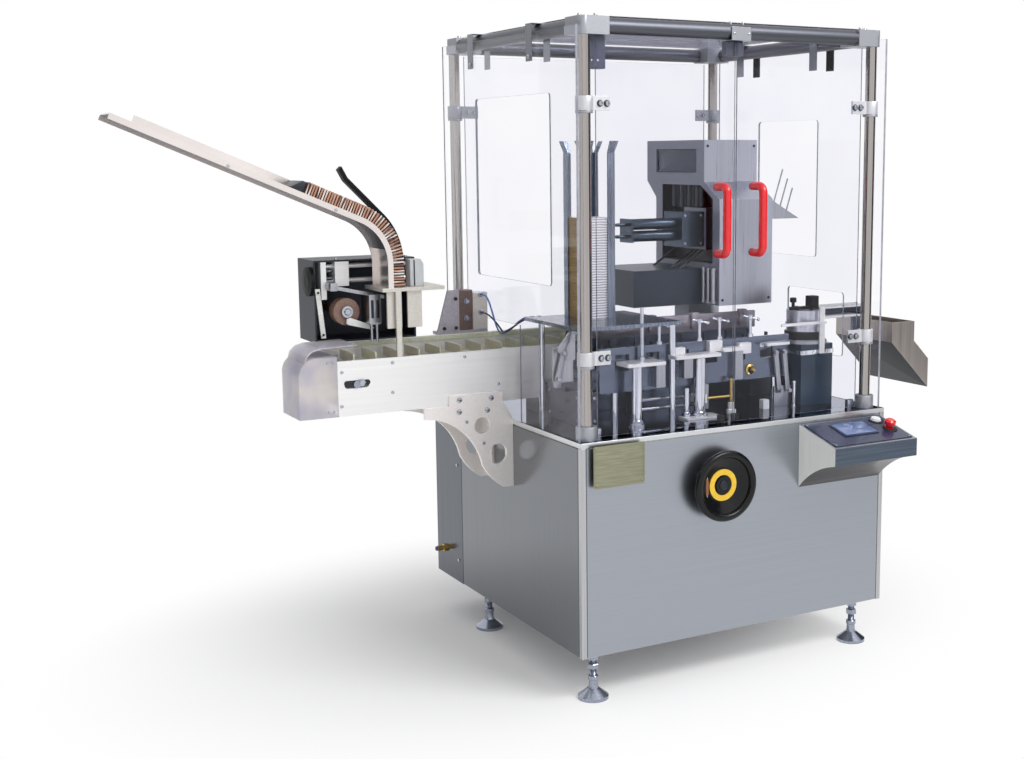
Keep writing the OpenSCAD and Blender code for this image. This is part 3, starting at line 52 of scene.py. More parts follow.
PICTURE_W, PICTURE_H = 1024, 759
SENSOR_MM = 36.0
lens_px = 1389.2
middle_px = (610.0, 355.0)
yaw, pitch, roll = 0.5223, -0.1418, -0.0045
camera = bpy.data.objects.new("camera", bpy.data.cameras.new("camera"))
bpy.context.scene.collection.objects.link(camera)
camera.data.sensor_width = SENSOR_MM
camera.data.lens = SENSOR_MM * lens_px / PICTURE_W
camera.data.shift_x = (PICTURE_W / 2 - middle_px[0]) / PICTURE_W
camera.data.shift_y = (middle_px[1] - PICTURE_H / 2) / PICTURE_W
camera.matrix_world = (
    Matrix.Translation(at(-2030.3, -3712.2, 1729.3))
    @ Matrix.Rotation(-yaw, 4, "Z")
    @ Matrix.Rotation(math.pi / 2 + pitch, 4, "X")
    @ Matrix.Rotation(roll, 4, "Z")
)
bpy.context.scene.camera = camera
bpy.context.scene.view_settings.view_transform = "Standard"


# Air hoses
# Two polyurethane hoses leave the pale valve body's push-in fittings, drop through the gap under the left
# sheet and go into fittings on the rear edge of the carton table.
def linear(code):
    """The linear colour of an sRGB hex value."""
    parts = [int(code[i : i + 2], 16) / 255 for i in (1, 3, 5)]
    return [p / 12.92 if p <= 0.04045 else ((p + 0.055) / 1.055) ** 2.4 for p in parts] + [1.0]


def add(owner, kind, settings, inputs):
    """Adds a node to a material or world, with its settings, and its sockets set or linked."""
    made = owner.node_tree.nodes.new(kind)
    for name, value in settings.items():
        setattr(made, name, value)
    for name, value in inputs.items():
        if isinstance(value, bpy.types.NodeSocket):
            owner.node_tree.links.new(value, made.inputs[name])
        else:
            made.inputs[name].default_value = value
    return made


def stops(ramp, *pairs):
    """Gives a colour ramp its stops: pairs of a place and a hex colour."""
    parts = ramp.color_ramp.elements
    while len(parts) < len(pairs):
        parts.new(0.5)
    for part, (place, code) in zip(parts, pairs):
        part.position, part.color = place, linear(code)
    return ramp.outputs["Color"]


def surface(name, **sockets):
    """A new material and its Principled shader: constant values are set on the shader's own sockets."""
    made = bpy.data.materials.new(name)
    made.use_nodes = True
    shader = made.node_tree.nodes["Principled BSDF"]
    for socket, value in sockets.items():
        shader.inputs[socket.replace("_", " ").title().replace("Ior", "IOR")].default_value = value
    return made, shader


def finish(name, metallic, low, high, grain_mm, rough, bump, **sockets):
    """A material whose tone, roughness and relief follow one noise; grain_mm is its size along x, y and z."""
    made, shader = surface(name, metallic=metallic, **sockets)
    link = made.node_tree.links.new
    place = add(made, "ShaderNodeTexCoord", {}, {})
    scale = [1000.0 / p for p in grain_mm]
    fit = add(made, "ShaderNodeMapping", {}, {"Vector": place.outputs["Object"], "Scale": scale})
    noise = add(made, "ShaderNodeTexNoise", {}, {"Vector": fit.outputs["Vector"], "Scale": 1.0, "Detail": 3.0})
    tone = add(made, "ShaderNodeValToRGB", {}, {"Fac": noise.outputs["Fac"]})
    link(stops(tone, (0.3, low), (0.7, high)), shader.inputs["Base Color"])
    gloss = add(made, "ShaderNodeMapRange", {},
        {"Value": noise.outputs["Fac"], "To Min": rough[0], "To Max": rough[1]})
    link(gloss.outputs["Result"], shader.inputs["Roughness"])
    if bump:
        relief = add(made, "ShaderNodeBump", {},
            {"Height": noise.outputs["Fac"], "Strength": bump, "Distance": 0.0004})
        link(relief.outputs["Normal"], shader.inputs["Normal"])
    return made


def swept(start, out, back, end, count):
    """Places along a smooth bend from one place to another, drawn by the directions at its ends."""
    line = []
    for k in range(count):
        t = k / count
        leaving = start * (1 - t) ** 3 + out * 3 * t * (1 - t) ** 2
        line.append(leaving + back * 3 * t * t * (1 - t) + end * t ** 3)
    return line


def hose(name, diameter_mm, material, line):
    """A hose along a line of places, riding on the machine from one fitting to another."""
    made = bpy.data.objects.new(name, bpy.data.curves.new(name, "CURVE"))
    bpy.context.scene.collection.objects.link(made)
    made.data.dimensions = "3D"
    made.data.bevel_depth = diameter_mm / 2000
    made.data.bevel_resolution = 3
    made.data.use_fill_caps = True
    spline = made.data.splines.new("POLY")
    spline.points.add(len(line) - 1)
    for point, place in zip(spline.points, line):
        point.co = (*place, 1.0)
    made.data.materials.append(material)
    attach(made, "machine")


# Extruded polyurethane: even colour, a soft shine and no relief.
blue_hose = finish("polyurethane hose blue", 0.0, "#3a68ae", "#4676bf", (4, 4, 4), (0.26, 0.36), 0.0)
black_hose = finish("polyurethane hose black", 0.0, "#17191c", "#222428", (4, 4, 4), (0.26, 0.36), 0.0)
hose_d = 6
lead = 3 * hose_d
valve_x, valve_tip, valve_low, valve_high = -33, 641, 1199, 1261
table_edge, table_mid, table_tip = 560, 1177, 576
blue_in, black_in = 122, 152
for name, material, top, enters, out, down, gap, up, last in (
    ("blue_hose", blue_hose, valve_high, blue_in, 48, (-43, 531, 1180), (3, 588, 1139), (58, 656, 1090), 60),
    ("black_hose", black_hose, valve_low, black_in, 58, (-9, 543, 1150), (17, 585, 1135), (50, 638, 1116), 70),
):
    start, stop = at(valve_x, valve_tip - lead, top), at(enters, table_tip + lead, table_mid)
    line = [at(valve_x, valve_tip, top), at(valve_x, valve_tip - lead / 2, top)]
    line += swept(start, at(valve_x, valve_tip - lead - out, top), at(*down), at(*gap), 13)
    line += swept(at(*gap), at(*up), stop + Vector((0, last / 1000, 0)), stop, 13)
    line += [stop, at(enters, table_tip + lead / 2, table_mid), at(enters, table_tip, table_mid)]
    hose(name, hose_d, material, line)


# Studio
# A pale floor that runs out into white, an even white surround, grey boards at the sides that give
# the bright metal its darker edges, and one broad lamp over the front that draws the soft shadow.
world = bpy.data.worlds.new("studio")
bpy.context.scene.world = world
world.use_nodes = True
world.node_tree.nodes.clear()
toward = add(world, "ShaderNodeTexCoord", {}, {})
parts = add(world, "ShaderNodeSeparateXYZ", {}, {"Vector": toward.outputs["Generated"]})
height = add(world, "ShaderNodeMapRange", {}, {"Value": parts.outputs["Z"], "From Min": -0.2, "From Max": 0.9})
height_tone = stops(add(world, "ShaderNodeValToRGB", {}, {"Fac": height.outputs["Result"]}),
    (0.0, "#dcdcdf"), (0.3, "#e2e2e4"), (0.6, "#f4f4f6"), (1.0, "#ffffff"))
path = add(world, "ShaderNodeLightPath", {}, {})
seen = add(world, "ShaderNodeMath", {"operation": "MAXIMUM"},
    {0: path.outputs["Is Camera Ray"], 1: path.outputs["Is Transmission Ray"]})
seen_or_mirrored = add(world, "ShaderNodeMath", {"operation": "MAXIMUM"},
    {0: seen.outputs["Value"], 1: path.outputs["Is Glossy Ray"]})
plain = add(world, "ShaderNodeBackground", {}, {"Color": linear("#ffffff"), "Strength": 1.0})
lit = add(world, "ShaderNodeBackground", {}, {"Color": height_tone, "Strength": 0.82})
mixed = add(world, "ShaderNodeMixShader", {},
    {0: seen_or_mirrored.outputs["Value"], 1: lit.outputs["Background"], 2: plain.outputs["Background"]})
add(world, "ShaderNodeOutputWorld", {}, {"Surface": mixed.outputs["Shader"]})

lamp = bpy.data.objects.new("front_lamp", bpy.data.lights.new("front_lamp", "AREA"))
bpy.context.scene.collection.objects.link(lamp)
lamp.data.shape, lamp.data.size, lamp.data.size_y, lamp.data.energy = "RECTANGLE", 2.4, 1.7, 120.0
lamp.location = (1.6, -3.2, 4.2)
lamp_aim = Vector((0.1, 0.1, 0.9))
lamp.rotation_euler = (lamp_aim - lamp.location).to_track_quat("-Z", "Y").to_euler()

# Matt paper under the machine, which glows white further out so that no edge shows.
floor_half = 30
floor = bpy.data.objects.new("floor", bpy.data.meshes.new("floor"))
floor_corners = [(x * floor_half, y * floor_half, 0) for x, y in ((-1, -1), (1, -1), (1, 1), (-1, 1))]
floor.data.from_pydata(floor_corners, [], [(0, 1, 2, 3)])
bpy.context.scene.collection.objects.link(floor)
paper = bpy.data.materials.new("white studio paper")
paper.use_nodes = True
paper.node_tree.nodes.clear()
spot = add(paper, "ShaderNodeTexCoord", {}, {})
squeezed = add(paper, "ShaderNodeMapping", {},
    {"Vector": spot.outputs["Object"], "Location": (-0.08, -0.3, 0.0), "Scale": (0.72, 1.0, 1.0)})
away = add(paper, "ShaderNodeVectorMath", {"operation": "LENGTH"}, {"Vector": squeezed.outputs["Vector"]})
fade = add(paper, "ShaderNodeMapRange", {"interpolation_type": "SMOOTHSTEP"},
    {"Value": away.outputs["Value"], "From Min": 0.45, "From Max": 1.4, "To Min": 0.06})
matt = add(paper, "ShaderNodeBsdfDiffuse", {}, {"Color": linear("#fbfbfb")})
white = add(paper, "ShaderNodeEmission", {}, {"Color": linear("#ffffff"), "Strength": 1.0})
both = add(paper, "ShaderNodeMixShader", {},
    {0: fade.outputs["Result"], 1: matt.outputs["BSDF"], 2: white.outputs["Emission"]})
add(paper, "ShaderNodeOutputMaterial", {}, {"Surface": both.outputs["Shader"]})
floor.data.materials.append(paper)

# The boards show only as dark lines in bright metal.
grey_board = surface("grey studio board", base_color=linear("#3a3c44"), roughness=0.9)[0]
board_top = 3.4
for name, x, near, far, low in (
    ("left_board", -4.6, -2.4, 2.4, 0.0),
    ("rear_left_board", -4.6, 2.4, 8.4, 0.95),
    ("right_board", 4.5, -4.6, 2.0, 0.0),
):
    card = bpy.data.objects.new(name, bpy.data.meshes.new(name))
    card_corners = [(x, near, low), (x, far, low), (x, far, board_top), (x, near, board_top)]
    card.data.from_pydata(card_corners, [], [(0, 1, 2, 3)])
    bpy.context.scene.collection.objects.link(card)
    card.data.materials.append(grey_board)
    card.visible_camera = card.visible_transmission = False


# Cabinet
# Folded 304 stainless sheet on a welded frame: polished sides, a front ground lengthwise, trims over the
# two front corners, a riveted bare name plate, and a brass air inlet low on the left.
FRONT, BACK, LEFT, RIGHT = (0, -1, 0), (0, 1, 0), (-1, 0, 0), (1, 0, 0)


def dress(material, *names):
    """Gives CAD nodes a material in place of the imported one."""
    for name in names:
        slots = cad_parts[name].data.materials
        slots.clear()
        slots.append(material)


def dress_faces(material, name, chosen):
    """Gives the chosen faces of a CAD node a further material."""
    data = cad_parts[name].data
    data.materials.append(material)
    for face in data.polygons:
        if chosen(face):
            face.material_index = len(data.materials) - 1


def soften(width_mm, *names):
    """Breaks the sharp edges of CAD nodes, as a press brake or a file does."""
    for name in names:
        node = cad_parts[name]
        weld = node.modifiers.new("weld", "WELD")
        weld.merge_threshold = 1e-5
        bevel = node.modifiers.new("edge", "BEVEL")
        bevel.width, bevel.segments, bevel.limit_method = width_mm / 1000, 2, "ANGLE"
        bevel.angle_limit = math.radians(40)
        bevel.harden_normals = True


def turned(rings, sides=28):
    """A solid turned about z from rings of radius and height in mm; it starts and ends on the axis."""
    made = bmesh.new()
    loops = []
    for radius, level in rings:
        steps = [2 * math.pi * k / sides for k in range(sides if radius else 1)]
        loops.append([made.verts.new((radius * math.cos(a), radius * math.sin(a), level)) for a in steps])
    for low, high in zip(loops, loops[1:]):
        for k in range(sides):
            nxt = k + 1
            ends = [low[k % len(low)], low[nxt % len(low)], high[nxt % len(high)], high[k % len(high)]]
            ends = list(dict.fromkeys(ends))
            if len(ends) > 2:
                made.faces.new(ends)
    bmesh.ops.recalc_face_normals(made, faces=made.faces[:])
    return made


def pressed(outline, thick, edge):
    """A plate of an outline in millimetres, thick along z, with its edges broken."""
    made = bmesh.new()
    face = made.faces.new([made.verts.new((x, y, 0)) for x, y in outline])
    grown = bmesh.ops.extrude_face_region(made, geom=[face])["geom"]
    raised = [v for v in grown if isinstance(v, bmesh.types.BMVert)]
    bmesh.ops.translate(made, verts=raised, vec=(0, 0, thick))
    bmesh.ops.recalc_face_normals(made, faces=made.faces[:])
    bmesh.ops.bevel(made, geom=made.edges[:], offset=edge, segments=2, profile=0.7, affect="EDGES")
    return made


def rounded(x0, y0, x1, y1, r):
    """A rectangle with rounded corners, as an outline."""
    spots = ((x1 - r, y0 + r, -90), (x1 - r, y1 - r, 0), (x0 + r, y1 - r, 90), (x0 + r, y0 + r, 180))
    return [(x + r * math.cos(math.radians(turn + s)), y + r * math.sin(math.radians(turn + s)))
        for x, y, turn in spots for s in (0, 22.5, 45, 67.5, 90)]


def facing(place, normal, along=(0, 0, 1)):
    """A frame at a place whose z points along the normal and whose y lies near the second direction."""
    z = Vector(normal).normalized()
    y = Vector(along) - z * Vector(along).dot(z)
    y.normalize()
    x = y.cross(z)
    return Matrix.Translation(place) @ Matrix((x, y, z)).transposed().to_4x4()


def stood(x, y, z):
    """A frame that stands upright at a place in millimetres."""
    return Matrix.Translation(at(x, y, z))


def upright(outline, y, thick, edge):
    """A plate drawn in x and z that stands at y and is thick towards the front."""
    return pressed(outline, thick, edge), facing(at(0, y, 0), FRONT)


def flat(outline, z, thick, edge):
    """A plate drawn in x and y that lies at a height."""
    return pressed(outline, thick, edge), stood(0, 0, z)


def screwed(head, normal, places):
    """One solid, such as a screw's head, at each of some places, facing along the normal."""
    return [(head, facing(at(*place), normal)) for place in places]


def fitted(name, material, *solids, body="machine"):
    """Joins solids in millimetres, each with its frame, into one piece that rides on a body."""
    whole = bmesh.new()
    for solid, placed in solids:
        part = bpy.data.meshes.new("part")
        solid.to_mesh(part)
        part.transform(placed @ Matrix.Scale(0.001, 4))
        whole.from_mesh(part)
        bpy.data.meshes.remove(part)
    made = bpy.data.objects.new(name, bpy.data.meshes.new(name))
    whole.to_mesh(made.data)
    made.data.polygons.foreach_set("use_smooth", [True] * len(made.data.polygons))
    made.data.set_sharp_from_angle(angle=math.radians(32))
    bpy.context.scene.collection.objects.link(made)
    made.data.materials.append(material)
    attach(made, body)


def cap_screw(d, tall):
    """A socket cap screw's head, with its chamfer and hexagon socket, standing on z = 0."""
    r, socket = d * 0.75, d * 0.5
    made = turned([(0, 0), (r, 0), (r, tall * 0.86), (r * 0.9, tall), (socket, tall), (socket, tall * 0.45),
        (0, tall * 0.45)], 24)
    for vert in made.verts:
        if abs(vert.co.xy.length - socket) < 0.01:
            turn = math.atan2(vert.co.y, vert.co.x) % (math.pi / 3) - math.pi / 6
            vert.co.xy *= math.cos(math.pi / 6) / math.cos(turn)
    return made


def dome_screw(r):
    """A low domed screw head of a radius, standing on z = 0."""
    return turned([(0, 0), (r, 0), (r, r * 0.3), (r * 0.82, r * 0.55), (r * 0.4, r * 0.66), (0, r * 0.68)], 24)


# The real grain is well under a millimetre; it is drawn a few millimetres wide so that it shows.
# Polished and buffed upright: the sides mirror what stands before them, a little softened.
side_steel = finish("stainless steel buffed upright", 1.0, "#75787d", "#7b7e82", (5, 5, 700), (0.13, 0.2), 0.02)
# Ground lengthwise: soft reflections drawn out along the front.
front_steel = finish("stainless steel ground lengthwise", 1.0, "#a0a5ae", "#a5aab2", (900, 5, 4),
    (0.3, 0.38), 0.03)
# Folded trim, left brighter than the sheets.
trim_steel = finish("stainless steel trim", 1.0, "#b2b3b5", "#c2c3c5", (4, 4, 500), (0.24, 0.32), 0.03)
# The electrical cabinet behind is left a shade darker.
rear_steel = finish("stainless steel buffed dark", 1.0, "#555961", "#61656d", (5, 5, 700), (0.14, 0.22), 0.02)
dress(side_steel, "side_panels")
dress(rear_steel, "rear_cabinet")
dress(front_steel, "front_panel")
dress(trim_steel, "cabinet_core")
soften(1.2, "front_panel", "side_panels", "rear_cabinet", "cabinet_core")

# Rolled brass left bare: a dull olive sheet with a raised border, four rivets and nothing on it.
brass_plate = finish("brass sheet rolled", 1.0, "#8c8b76", "#a1a089", (60, 8, 3), (0.36, 0.5), 0.05)
plate_w, plate_h, plate_left, plate_low, front_y = 187, 135, 36, 700, -16
badge = facing(at(plate_left + plate_w / 2, front_y, plate_low + plate_h / 2), FRONT)
sheet = pressed(rounded(-plate_w / 2, -plate_h / 2, plate_w / 2, plate_h / 2, 6), 1.2, 0.4)
border = []
for x0, y0, x1, y1 in ((-89, 61, 89, 63.5), (-89, -63.5, 89, -61), (-89.5, -62, -87, 62), (87, -62, 89.5, 62)):
    border.append((pressed(rounded(x0, y0, x1, y1, 1.1), 2.0, 0.3), badge))
rivet = turned([(0, 0), (4, 0), (3.6, 1.6), (2, 2.8), (0, 3.2)], 20)
rivets = [(rivet, badge @ Matrix.Translation((sx * 0.0825, sy * 0.0565, 0.001)))
    for sx in (-1, 1) for sy in (-1, 1)]
fitted("name_plate", brass_plate, (sheet, badge), *border, *rivets)

# Turned brass with bright tool marks.
brass = finish("brass turned", 1.0, "#bd9d57", "#d3b56e", (1.2, 1.2, 1.2), (0.2, 0.32), 0.05)
# The inlet's release collar is a clear, even blue.
blue_acetal = finish("blue moulded acetal", 0.0, "#2b58a3", "#3467b8", (3, 3, 3), (0.3, 0.42), 0.02)
inlet = facing(at(0, 1081, 251), LEFT)
nut = turned([(0, 0), (15, 0), (15, 10), (13.5, 11), (9, 11), (9, 24), (10.5, 25), (10.5, 34), (9.5, 35),
    (0, 35)], 6)
stem = turned([(0, 10), (9, 10), (9, 26), (10.5, 27), (10.5, 35), (9.6, 36), (0, 36)])
fitted("air_inlet", brass, (nut, inlet), (stem, inlet))
collar = turned([(0, 35), (8.5, 35), (8.5, 41), (7.5, 42), (4, 42), (4, 37), (0, 37)])
fitted("air_inlet_collar", blue_acetal, (collar, inlet))
# Zinc plated fasteners: small cool sparks all over the machine.
zinc_screw = finish("zinc plated steel", 1.0, "#a8acb6", "#c1c5cd", (2, 2, 2), (0.2, 0.32), 0.03)
cabinet_right, screw_y, screw_levels = 1225, 960, (230, 595, 775)
cabinet_screws = screwed(dome_screw(6), LEFT, [(0, screw_y, z) for z in screw_levels])
cabinet_screws += screwed(dome_screw(6), RIGHT, [(cabinet_right, screw_y, z) for z in screw_levels])
fitted("cabinet_screws", zinc_screw, *cabinet_screws)

# Behind, the electrical cabinet has two flanged doors with louvres and quarter-turn locks.
rear_low, rear_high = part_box("rear_cabinet")
rear_wide, rear_base, rear_tall = [1000 * v for v in (rear_high[0] - rear_low[0], rear_low[2], rear_high[2])]
rear_frame = facing(Vector((rear_high[0], rear_high[1], 0)), BACK)
margin, half_gap, lock_in, lock_end = 14, 3, 34, 120
lock = turned([(0, 0), (15, 0), (15, 5), (12, 7), (0, 7)], 28)
lock_wing = pressed(rounded(-3.5, -10, 3.5, 10, 2), 11, 1.0)
middle_left, middle_right = rear_wide / 2 - half_gap, rear_wide / 2 + half_gap
rear_doors, louvres, locks = [], [], []
for left, right, lock_x in (
    (margin, middle_left, middle_left - lock_in),
    (middle_right, rear_wide - margin, middle_right + lock_in),
):
    door = pressed(rounded(left, rear_base + margin, right, rear_tall - margin, 6), 2, 0.8)
    rear_doors.append((door, rear_frame))
    mid = (left + right) / 2
    for k in range(9):
        z = rear_base + 70 + 16 * k
        louvres.append((pressed(rounded(mid - 90, z, mid + 90, z + 8, 3.5), 5, 2.0), rear_frame))
    for z in (rear_base + lock_end, rear_tall - lock_end):
        placed = rear_frame @ Matrix.Translation((lock_x / 1000, z / 1000, 0.002))
        locks += [(lock, placed), (lock_wing, placed)]
fitted("rear_doors", rear_steel, *rear_doors)
fitted("rear_louvres", rear_steel, *louvres)
fitted("rear_locks", zinc_screw, *locks)

# Deck
# A thick stainless plate, lapped to a mirror on top, that closes the cabinet and carries the guard.
# Rubber stops and plated guides for the doors are screwed to it.
# Lapped to a mirror: it doubles what stands on it. Its dark blue grey base colour is painted reflection of the
# dark machinery over it.
mirror_steel = finish("stainless steel mirror polished", 1.0, "#777f92", "#818a9c", (90, 90, 90),
    (0.05, 0.08), 0.0)
# The plate's milled edge stays bright.
edge_steel = finish("stainless steel milled edge", 1.0, "#cccdd0", "#dadcde", (400, 400, 3), (0.25, 0.36), 0.03)
dress(mirror_steel, "deck_plate")
dress_faces(edge_steel, "deck_plate", lambda face: abs(face.normal.z) < 0.5)
soften(1.5, "deck_plate")
# Moulded rubber: black, dull and slightly grainy.
rubber = finish("moulded black rubber", 0.0, "#131416", "#1e2023", (1.5, 1.5, 1.5), (0.5, 0.7), 0.1)
deck_top, guard_mid = 846, 606.5
stop_block = pressed(rounded(-9, -13, 9, 13, 4), 24, 2.0)
stop_blocks = [(stop_block, stood(guard_mid + s * 28, 78, deck_top)) for s in (-1, 1)]
fitted("door_stops", rubber, *stop_blocks)
guide_block = pressed(rounded(-13, -9, 13, 9, 3), 30, 2.0)
fitted("door_guides", zinc_screw, *[(guide_block, stood(x, 66, deck_top)) for x in (94, 1120)])

# Levelling feet
# Turned and zinc plated steel pads on threaded stems, with a lock nut under the frame and a turned neck
# over the pad's ball.
# Bright zinc: cool, even shine.
zinc = finish("bright zinc plate", 1.0, "#8f95a5", "#a9afbc", (6, 6, 6), (0.18, 0.28), 0.03)
dress(zinc, "levelling_feet")
stem_r, thread_pitch, thread_low, thread_high = 10, 2.5, 36, 128
crests = [(0, thread_low)]
for k in range(int((thread_high - thread_low) / thread_pitch)):
    root = thread_low + k * thread_pitch
    crests += [(stem_r + 0.1, root), (stem_r + 1.3, thread_low + (k + 0.5) * thread_pitch)]
crests += [(stem_r, thread_high), (0, thread_high)]
thread = turned(crests, 20)
feet = [stood(x, y, 0) for x in (58, 1122) for y in (34, 820)]
fitted("stem_threads", zinc, *[(thread, foot) for foot in feet])
lock_nut = turned([(0, 98), (17, 98), (19, 100), (19, 114), (17, 116), (0, 116)], 6)
neck = turned([(0, 34), (17, 34), (15, 42), (14, 60), (17, 62), (17, 74), (15, 76), (0, 76)], 28)
fitted("lock_nuts", zinc, *[(solid, foot) for foot in feet for solid in (lock_nut, neck)])

# Guard frame
# Polished stainless tube posts and darker rails, held by bead blasted aluminium collars and corner blocks
# with cap screws from above; the door catch and a safety switch hang under the front rail.
# Polished tube: a bright warm streak between dark edges.
post_steel = finish("stainless tube polished", 1.0, "#a49f9c", "#b1acaa", (10, 10, 600), (0.11, 0.18), 0.01)
# Dull tube, a darker charcoal grey than the posts.
rail_steel = finish("stainless tube dull", 1.0, "#585a61", "#66686f", (300, 300, 6), (0.38, 0.46), 0.03)
# Bead blasting leaves an even, fine pitted shine.
blasted = finish("aluminium bead blasted", 0.6, "#9c9ea5", "#acaeb5", (2, 2, 2), (0.34, 0.46), 0.08)
# The door clamps are blasted finer and stay brighter.
clamp_metal = finish("aluminium fine blasted", 0.5, "#cccdd2", "#dadbdf", (2, 2, 2), (0.36, 0.46), 0.06)
# Blackened screws read as small dark marks. The same near black, laid as thin plates over slots and grooves, is
# painted shade.
blackened_steel_and_slot_shade = finish("steel blackened", 1.0, "#34363b", "#45474e", (1.5, 1.5, 1.5), (0.3, 0.42), 0.05)
dress(post_steel, "guard_posts")
dress(rail_steel, "top_rails")
dress(blasted, "post_collars", "corner_blocks", "back_clamps")
dress(clamp_metal, "left_door_hinges", "right_door_hinges")
soften(1.5, "corner_blocks", "post_collars", "back_clamps", "left_door_hinges", "right_door_hinges")
post_left, post_right, post_front, post_back, block_top = 45, 1168, 42, 1008, 2151
corner_bolts = []
for x, turn in ((post_left, 1), (post_right, -1)):
    for y, way in ((post_front, 1), (post_back, -1)):
        for across, inward in ((2, 34), (44, 8)):
            corner_bolts.append((cap_screw(8, 10), stood(x + turn * across, y + way * inward, block_top)))
fitted("corner_bolts", zinc_screw, *corner_bolts)
rail_studs = [(cap_screw(7, 9), stood(guard_mid + s * 24, post_front, 2148)) for s in (-1, 1)]
fitted("rail_studs", zinc_screw, *rail_studs)
catch_screws = screwed(dome_screw(4), FRONT, [(guard_mid + s * 28, 14, 2117) for s in (-1, 1)])
switch_screws = screwed(dome_screw(3.6), FRONT, [(x, 54, 2020) for x in (77, 98)])
fitted("catch_screws", zinc_screw, *catch_screws, *switch_screws)

# Guard sheets and doors
# Clear cast acrylic, sawn and flame polished, hung from the rails by folded straps and from the posts by
# split clamps; each door carries a red bow handle.
# Cast acrylic: clear with the faintest cool cast; the thin sheet mirrors less than a thick one would.
clear = {"ior": 1.22, "transmission_weight": 1.0}
acrylic = finish("clear cast acrylic", 0.0, "#f5f5fa", "#f9f9fc", (400, 400, 400), (0.01, 0.03), 0.0, **clear)
side_acrylic = finish("clear cast acrylic thin", 0.0, "#f9f9fd", "#fdfdff", (400, 400, 400), (0.01, 0.03), 0.0,
    **clear)
# The edge faces are an opaque soft grey: painted shade for the line the clear edge draws as it bends the light.
acrylic_edge_shade = finish("acrylic edge painted shade", 0.0, "#848691", "#9c9ea9", (40, 40, 40), (0.2, 0.34), 0.02,
    ior=1.49)
for name in ("left_door_glass", "right_door_glass", "back_guard"):
    dress(acrylic, name)
    dress_faces(acrylic_edge_shade, name, lambda face: abs(face.normal.y) < 0.9)
for name in ("left_guard", "right_guard"):
    dress(side_acrylic, name)
    dress_faces(acrylic_edge_shade, name, lambda face: abs(face.normal.x) < 0.9)
# The roof is tinted lilac in the mass.
lilac_acrylic = finish("lilac cast acrylic", 0.0, "#dcddee", "#e4e5f3", (300, 300, 300), (0.03, 0.08), 0.0,
    ior=1.22, transmission_weight=0.95)
dress(lilac_acrylic, "roof_sheet")
# Moulded nylon: a clear red with a wet highlight.
red_nylon = finish("glossy red moulded nylon", 0.0, "#d4131d", "#e41c26", (14, 14, 14), (0.16, 0.26), 0.02,
    coat_weight=0.4)
dress(red_nylon, "left_door_handle", "right_door_handle", "stop_button")
# Satin sheet: soft upright streaks.
satin = finish("stainless sheet satin", 1.0, "#a2a4ab", "#b2b4bb", (5, 5, 300), (0.26, 0.36), 0.03)
# The straps in the shade of the rails read darker.
strap_steel = finish("stainless strap folded", 0.8, "#868891", "#95979f", (5, 5, 80), (0.22, 0.3), 0.03)
# The switch body is a dull blue grey.
dark_plastic = finish("dark moulded polyamide", 0.0, "#484d60", "#585d71", (3, 3, 3), (0.4, 0.52), 0.05)
dress(strap_steel, "guard_hangers")
dress(satin, "door_catch")
dress(dark_plastic, "safety_switches")
soften(1.0, "guard_hangers", "door_catch")
soften(1.5, "safety_switches")
clamp_levels, clamp_face, grip_levels, sheet_back = (1104, 1891), 35.2, (1415, 1631), 48
seat = turned([(0, 0), (11, 0), (11, 2.2), (10, 2.8), (0, 2.8)], 24)
on_seat = Matrix.Translation((0, 0, 0.0026))
handle_nut = turned([(0, 0), (13, 0), (13, 2), (8, 2.4), (8, 8), (7, 9), (0, 9)], 24)
for body, post, side in (("left_door", post_left, 1), ("right_door", post_right, -1)):
    spots = [facing(at(post + side * reach, clamp_face, z), FRONT) for reach in (50, 74) for z in clamp_levels]
    fitted(body + "_clamp_washers", blackened_steel_and_slot_shade, *[(seat, spot) for spot in spots], body=body)
    bolt = cap_screw(10.6, 8)
    fitted(body + "_clamp_bolts", zinc_screw, *[(bolt, spot @ on_seat) for spot in spots], body=body)
    grip_x = guard_mid - side * 71
    nuts = screwed(handle_nut, BACK, [(grip_x, sheet_back, z) for z in grip_levels])
    fitted(body + "_handle_nuts", zinc_screw, *nuts, body=body)
back_spots = [(x, 1000, z) for x in (95, 119, 1094, 1118) for z in clamp_levels]
back_bolts = screwed(cap_screw(10, 9), FRONT, back_spots)
fitted("back_clamp_bolts", zinc_screw, *back_bolts)
hanger_screws = []
for y in (330, 780):
    hanger_screws += screwed(dome_screw(7), LEFT, [(2, y, 2046)])
    hanger_screws += screwed(dome_screw(7), RIGHT, [(1223, y, 2046)])
fitted("hanger_screws", zinc_screw, *hanger_screws)

# Bucket conveyor
# Milled aluminium side plates on two cast brackets carry an endless chain of pale acetal buckets, which
# turns under a frosted end cover.
# Milled and clear anodised: pale and even, with faint cutter lines along the plate.
milled = finish("aluminium clear anodised", 0.4, "#ecebeb", "#f3f2f2", (500, 500, 6), (0.32, 0.4), 0.02)
# Sand cast and faced: warm, slightly grainy.
cast = finish("aluminium cast and faced", 0.45, "#f1ebe8", "#faf5f2", (4, 4, 4), (0.34, 0.46), 0.06)
# Moulded acetal: waxy, pale greenish ivory.
acetal = finish("acetal moulded ivory", 0.0, "#bebea8", "#d2d2bd", (12, 12, 12), (0.34, 0.46), 0.03,
    subsurface_weight=0.1)
# Milled acetal: clean matt white.
white_acetal = finish("acetal milled white", 0.0, "#e2e2df", "#eff0ed", (6, 6, 6), (0.36, 0.5), 0.03)
# Frosted sheet: the light spreads inside it and the lilac shows.
frosted = finish("lilac acrylic frosted", 0.0, "#c9c8dc", "#faf4ef", (130, 130, 130), (0.3, 0.45), 0.02,
    ior=1.3, transmission_weight=0.55)
